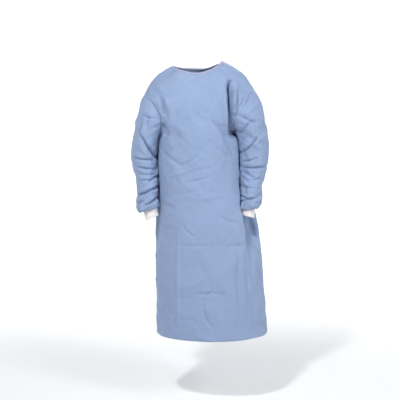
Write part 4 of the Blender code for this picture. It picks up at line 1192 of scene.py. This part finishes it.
binding_form, binding_length = binding_mesh()
neck_binding = bpy.data.objects.new("gown_neck_binding", binding_form)
bpy.context.scene.collection.objects.link(neck_binding)
print("binding:", round(float(binding_length), 3), "m of strip,", len(binding_form.polygons), "faces")

# %% [markdown]
# ## The ties and the neck tab
#
# The photograph shows the gown's front, so the back is finished as such gowns are: a strip at the neck that
# fastens one flap to the other, and two tapes tied in a knot at the waist. A tape is laid on the cloth by
# asking, at each of its points, how far out the cloth lies there. It bridges hollows and slopes gently down
# from ridges.

# %% Lay a strip on the back
STRIP_GAP = 0.0005
BRIDGE_SLOPE, BRIDGE_REST = 0.35, 0.003  # how steeply a tape leaves a ridge, and how far it rests on it
back_tree = tree_of(backs.values(), False)


def outwards(turns):
    """Level ways out from the body's middle. Turns are degrees from straight back to the wearer's right."""
    angles = np.radians(turns)
    return np.stack([-np.sin(angles), np.cos(angles), 0 * angles], axis=-1)


def back_reach(height, turn):
    """How far out the back's cloth lies at a height and turn."""
    way = outwards(np.array(turn))
    place, *_ = back_tree.ray_cast(Vector((0, 0, height)) + Vector(way), -Vector(way), 1.0)
    return float((place - Vector((0, 0, height))).dot(Vector(way)))


def laid(heights, turns, lifts=0.0):
    """A strip's underside on the back, as a grid of points, with its lowest places just off the cloth."""
    reach = np.array([[back_reach(h, t) for h, t in zip(*pair)] for pair in zip(heights, turns)])
    axis = np.stack([0 * heights, 0 * heights, heights], axis=-1)
    ways = outwards(turns)
    spots = (axis + ways * reach[..., None]).reshape(-1, 3)
    far = np.linalg.norm(spots[:, None] - spots[None], axis=-1)
    falls = BRIDGE_SLOPE * np.maximum(0.0, far - BRIDGE_REST)
    bridged = np.max(reach.reshape(1, -1) - falls, axis=1).reshape(reach.shape)
    for _ in range(3):  # smooth along the strip, without sinking into the cloth
        calm = bridged.copy()
        calm[:, 1:-1] = (bridged[:, :-2] + 2 * bridged[:, 1:-1] + bridged[:, 2:]) / 4
        bridged = np.maximum(calm, reach)
    return axis + ways * (bridged + STRIP_GAP + lifts)[..., None]


print("the back's cloth at the waist:", round(back_reach(-0.5, 51), 3), "m out")

# %% Neck tab
TAPE, TAPE_WIDTH, TIE_HEIGHT, KNOT_TURN = 0.0012, 0.024, -0.500, 51
STRIP_LINES = 9
lines = np.linspace(-0.5, 0.5, STRIP_LINES)[:, None]


def strip(name, underside, thickness=TAPE):
    """A flat strip from the grid of its underside, with its UV map in metres and its edges marked."""
    ways = grid_normals(underside, False)
    edge = (0.5 - np.abs(lines)) * TAPE_WIDTH + 0 * underside[..., 0]
    return cloth(name, underside + ways * thickness, False, thickness, marks={"side": edge})


turns = np.tile(np.linspace(58, 12, 49), (STRIP_LINES, 1))
tab_heights = -0.052 + 0.024 * lines + 0 * turns
neck_tab = strip("gown_neck_tab", laid(tab_heights, turns), 0.0016)
print("neck tab", [round(v, 3) for v in neck_tab.dimensions])

# %% Waist ties
def drawn_in(away, length):
    """The share of its width that a tape has this far from the knot."""
    return 0.46 + 0.54 * eased(away / length)


degrees_a_metre = math.degrees(1 / back_reach(TIE_HEIGHT, KNOT_TURN))
ties, strip_lengths = {}, {}


def tie(name, underside, turned=False):
    """One tie as a strip on the back, with the length of its cut kept for later."""
    strip_lengths[name] = float(run_of(underside, 1)[STRIP_LINES // 2, -1])
    ties[name] = strip("gown_" + name, underside[:, ::-1] if turned else underside)
    print(name, [round(v, 3) for v in ties[name].dimensions])


for name, start, end in (
    ("tie_flap_stretch", 26, KNOT_TURN - 0.015 * degrees_a_metre),
    ("tie_side_stretch", 66, KNOT_TURN + 0.015 * degrees_a_metre),
):
    turns = np.tile(np.linspace(start, end, 61), (STRIP_LINES, 1))
    away = np.abs(turns[0] - end) / degrees_a_metre
    wave = 0.0012 * np.sin(away * 70) * eased(away / 0.02)
    heights = TIE_HEIGHT + TAPE_WIDTH * lines * drawn_in(away, 0.03) + wave
    tie(name, laid(heights, turns), turned=start < end)
for name, start, end, length, lift in (
    ("tie_tail_short", -0.0068, -0.030, 0.235, 0.004),
    ("tie_tail_long", 0.0068, 0.034, 0.285, 0.005),
):
    down = np.linspace(0.0, length, 91)
    middle = KNOT_TURN + degrees_a_metre * (start + (end - start) * down / length)
    side_lines = lines[::-1] * TAPE_WIDTH * drawn_in(down, 0.09)
    turns = middle[None] + degrees_a_metre * side_lines
    heights = np.tile(TIE_HEIGHT - 0.0142 - down, (STRIP_LINES, 1))
    sway = lift * down / length + 0.0016 * eased(down / 0.05) * (1 + np.sin(down * 46 + 40 * start))
    tie(name, laid(heights, turns, sway[None]))

# %% [markdown]
# The knot is a round lump of folded tape with two turns of tape drawn tight over it. The lump starts as a
# sphere that is squared, flattened where it rests on the cloth and creased. Each turn is a short band on a
# curve round the lump, a little proud of it, and made solid.

# %% Knot
KNOT = np.array((0.0165, 0.0070, 0.0135))  # half its width, depth and height
KNOT_TURNS = ((32, 0.0125, 0.0), (-42, 0.0105, 0.0012))  # each turn's slant in degrees, width and lift


def corner_order(face):
    """A number that puts faces in the order of their lowest corners."""
    low, middle, high, *_ = sorted(vertex.index for vertex in face.verts)
    return (low * 10000 + middle) * 10000 + high


def knot_lump():
    """The lump as a mesh round its own middle: x across, y out and z up."""
    bpy.ops.object.select_all(action="DESELECT")
    bpy.ops.mesh.primitive_uv_sphere_add(segments=48, ring_count=28, radius=1.0)
    lump = bpy.context.object
    listed = bmesh.new()  # the sphere's faces are listed in another order on each run, so they are sorted
    listed.from_mesh(lump.data)
    listed.faces.sort(key=corner_order)
    listed.to_mesh(lump.data)
    listed.free()
    for vertex in lump.data.vertices:
        x, y, z = vertex.co
        around = math.atan2(z, x)
        square = 1 + 0.12 * math.sin(2 * around) ** 2
        crease = 1 - 0.07 * bell(z - 0.35 * x, 0.10) - 0.05 * bell(z + 0.5 * x - 0.3, 0.08)
        depth = KNOT[1] * (crease + 0.05 * math.sin(7 * around + 3 * y)) * (y if y > 0 else 0.25 * y)
        vertex.co = (x * KNOT[0] * square * crease, depth, z * KNOT[2] * square)
    lump.data.uv_layers[0].name = "cloth"
    for corner in lump.data.uv_layers["cloth"].data:
        corner.uv = (corner.uv[0] * 2 * math.pi * KNOT[0], corner.uv[1] * math.pi * KNOT[2])
    lump.data.shade_smooth()
    return lump


def knot_turn(slant, width, lift):
    """A band of tape over the lump, from one side of its underneath to the other."""
    way = np.array((math.sin(math.radians(slant)), 0.0, math.cos(math.radians(slant))))
    side = np.array((way[2], 0.0, -way[0]))
    turn = np.linspace(-1.65, 1.65, 41)
    cross = np.linspace(-0.5, 0.5, 9)
    reach = 0.97 / math.hypot(way[0] / KNOT[0], way[2] / KNOT[2]) + lift
    rows = []
    for c in cross:
        crown = 0.0011 * (1 - (2 * c) ** 2) + 0.0004 * math.cos(c * 19)
        narrow = 1 - 0.25 * np.cos(turn) ** 2
        out = (KNOT[1] * 0.93 + lift + crown) * np.cos(turn)
        flat = way * (reach * np.sin(turn))[:, None] + side * (width * c * narrow)[:, None]
        rows.append(flat + np.array((0, 1.0, 0)) * out[:, None])
    grid = np.array(rows)
    if grid_normals(grid, False)[..., 1].mean() < 0:
        grid = grid[::-1]
    marks = {"side": (0.5 - np.abs(cross))[:, None] * width + 0 * grid[..., 0]}
    return cloth(f"knot_turn_{slant}", grid, False, 0.0009, marks=marks)


parts = [knot_lump(), *(knot_turn(*turn) for turn in KNOT_TURNS)]
bpy.ops.object.select_all(action="DESELECT")
for part in parts:
    part.select_set(True)
bpy.context.view_layer.objects.active = parts[0]
bpy.ops.object.join()
knot = parts[0]
knot.name = "gown_tie_knot"
knot_out = outwards(np.array(float(KNOT_TURN)))
knot_across = unit(np.cross(knot_out, np.array((0.0, 0.0, 1.0))))
rest = back_reach(TIE_HEIGHT, KNOT_TURN) + KNOT[1] * 0.30 + STRIP_GAP
for vertex in knot.data.vertices:
    x, y, z = vertex.co
    vertex.co = Vector(knot_across * x + knot_out * (y + rest)) + Vector((0.0, 0.0, z + TIE_HEIGHT))
ties["tie_knot"] = knot
print("knot", [round(v, 3) for v in knot.dimensions], len(knot.data.polygons), "faces")

# %% [markdown]
# ## Putting the gown together
#
# Every piece rides on the one body and stands for its own CAD wall, which stays in the physics model. The
# size that each cut piece was cut to is worked out and printed: its widest row, its length up to the level
# of its highest point, and the area that it covers before it is folded.

# %% Ride, replace and finish
finishes = {
    "gown_cloth": gown_blue,
    "cuff_knit": cuff_white,
    "neck_binding": neck_pale,
    "neck_tab": tab_fuzz,
    "tie_tape": tape_blue,
}
pieces = {
    "front_panel": (front_panel, "gown_cloth"),
    "back_panel_left": (back_panels["back_left"], "gown_cloth"),
    "back_panel_right": (back_panels["back_right"], "gown_cloth"),
    "sleeve_left": (sleeves["sleeve_left"], "gown_cloth"),
    "sleeve_right": (sleeves["sleeve_right"], "gown_cloth"),
    "cuff_left": (cuffs["cuff_left"], "cuff_knit"),
    "cuff_right": (cuffs["cuff_right"], "cuff_knit"),
    "neck_binding": (neck_binding, "neck_binding"),
    "neck_tab": (neck_tab, "neck_tab"),
    **{name: (made, "tie_tape") for name, made in ties.items()},
}
for node, (made, slot) in pieces.items():
    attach(made, "root")
    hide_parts(node)
    made.data.materials.clear()
    made.data.materials.append(finishes[slot])
print(len(pieces), "pieces,", sum(len(made.data.polygons) for made, _ in pieces.values()), "faces in all")

def cut_of(points, column=None, closed=False):
    """A grid's widest row, its length and its area, in metres. The length runs up one column and on to the
    level of the highest point, or else up the longest column."""
    wrapped = np.concatenate([points, points[:, :1]], axis=1) if closed else points
    corner = wrapped[:-1, :-1]
    up, across, slanting = wrapped[1:, :-1] - corner, wrapped[:-1, 1:] - corner, wrapped[1:, 1:] - corner
    area = sum(np.linalg.norm(np.cross(side, slanting), axis=-1).sum() for side in (up, across)) / 2
    width, length = run_of(wrapped, 1)[:, -1].max(), run_of(points, 0)[-1]
    if column is None:
        length = length.max()
    else:
        length = length[column] + points[-1, :, 2].max() - points[-1, column, 2]
    return float(width), float(length), float(min(area, width * length))


def smooth_sleeve(rows):
    """A sleeve before it is folded, from its turned end up to the armhole."""
    angles = np.linspace(0, 2 * math.pi, 97)[:-1]
    return np.array([sleeve_ring(rows, at, angles) for at in np.linspace(len(rows) - 1.0, 0.0, 45)])


cuts = {
    "front_panel": cut_of(front_smooth, front_smooth.shape[1] // 2),
    "back_panel_left": cut_of(back_smooth["back_left"], -1),
    "back_panel_right": cut_of(back_smooth["back_right"], 0),
    "sleeve_left": cut_of(smooth_sleeve(LEFT_SLEEVE), closed=True),
    "sleeve_right": cut_of(smooth_sleeve(RIGHT_SLEEVE), closed=True),
}
for node, (width, length, area) in cuts.items():
    print(node, "cut", round(width, 3), "x", round(length, 3), "m,", round(area, 3), "m2")
for node, grid in zip(("cuff_left", "cuff_right"), cuff_grids):
    width, length, area = cut_of(grid, closed=True)
    print(node, "cut", round(width, 3), "x", round(length, 3), "m")
for node, length in strip_lengths.items():
    "hung" if "tail" in node else "stretched"
    print(node, TAPE_WIDTH, "x", round(length, 3), "m")
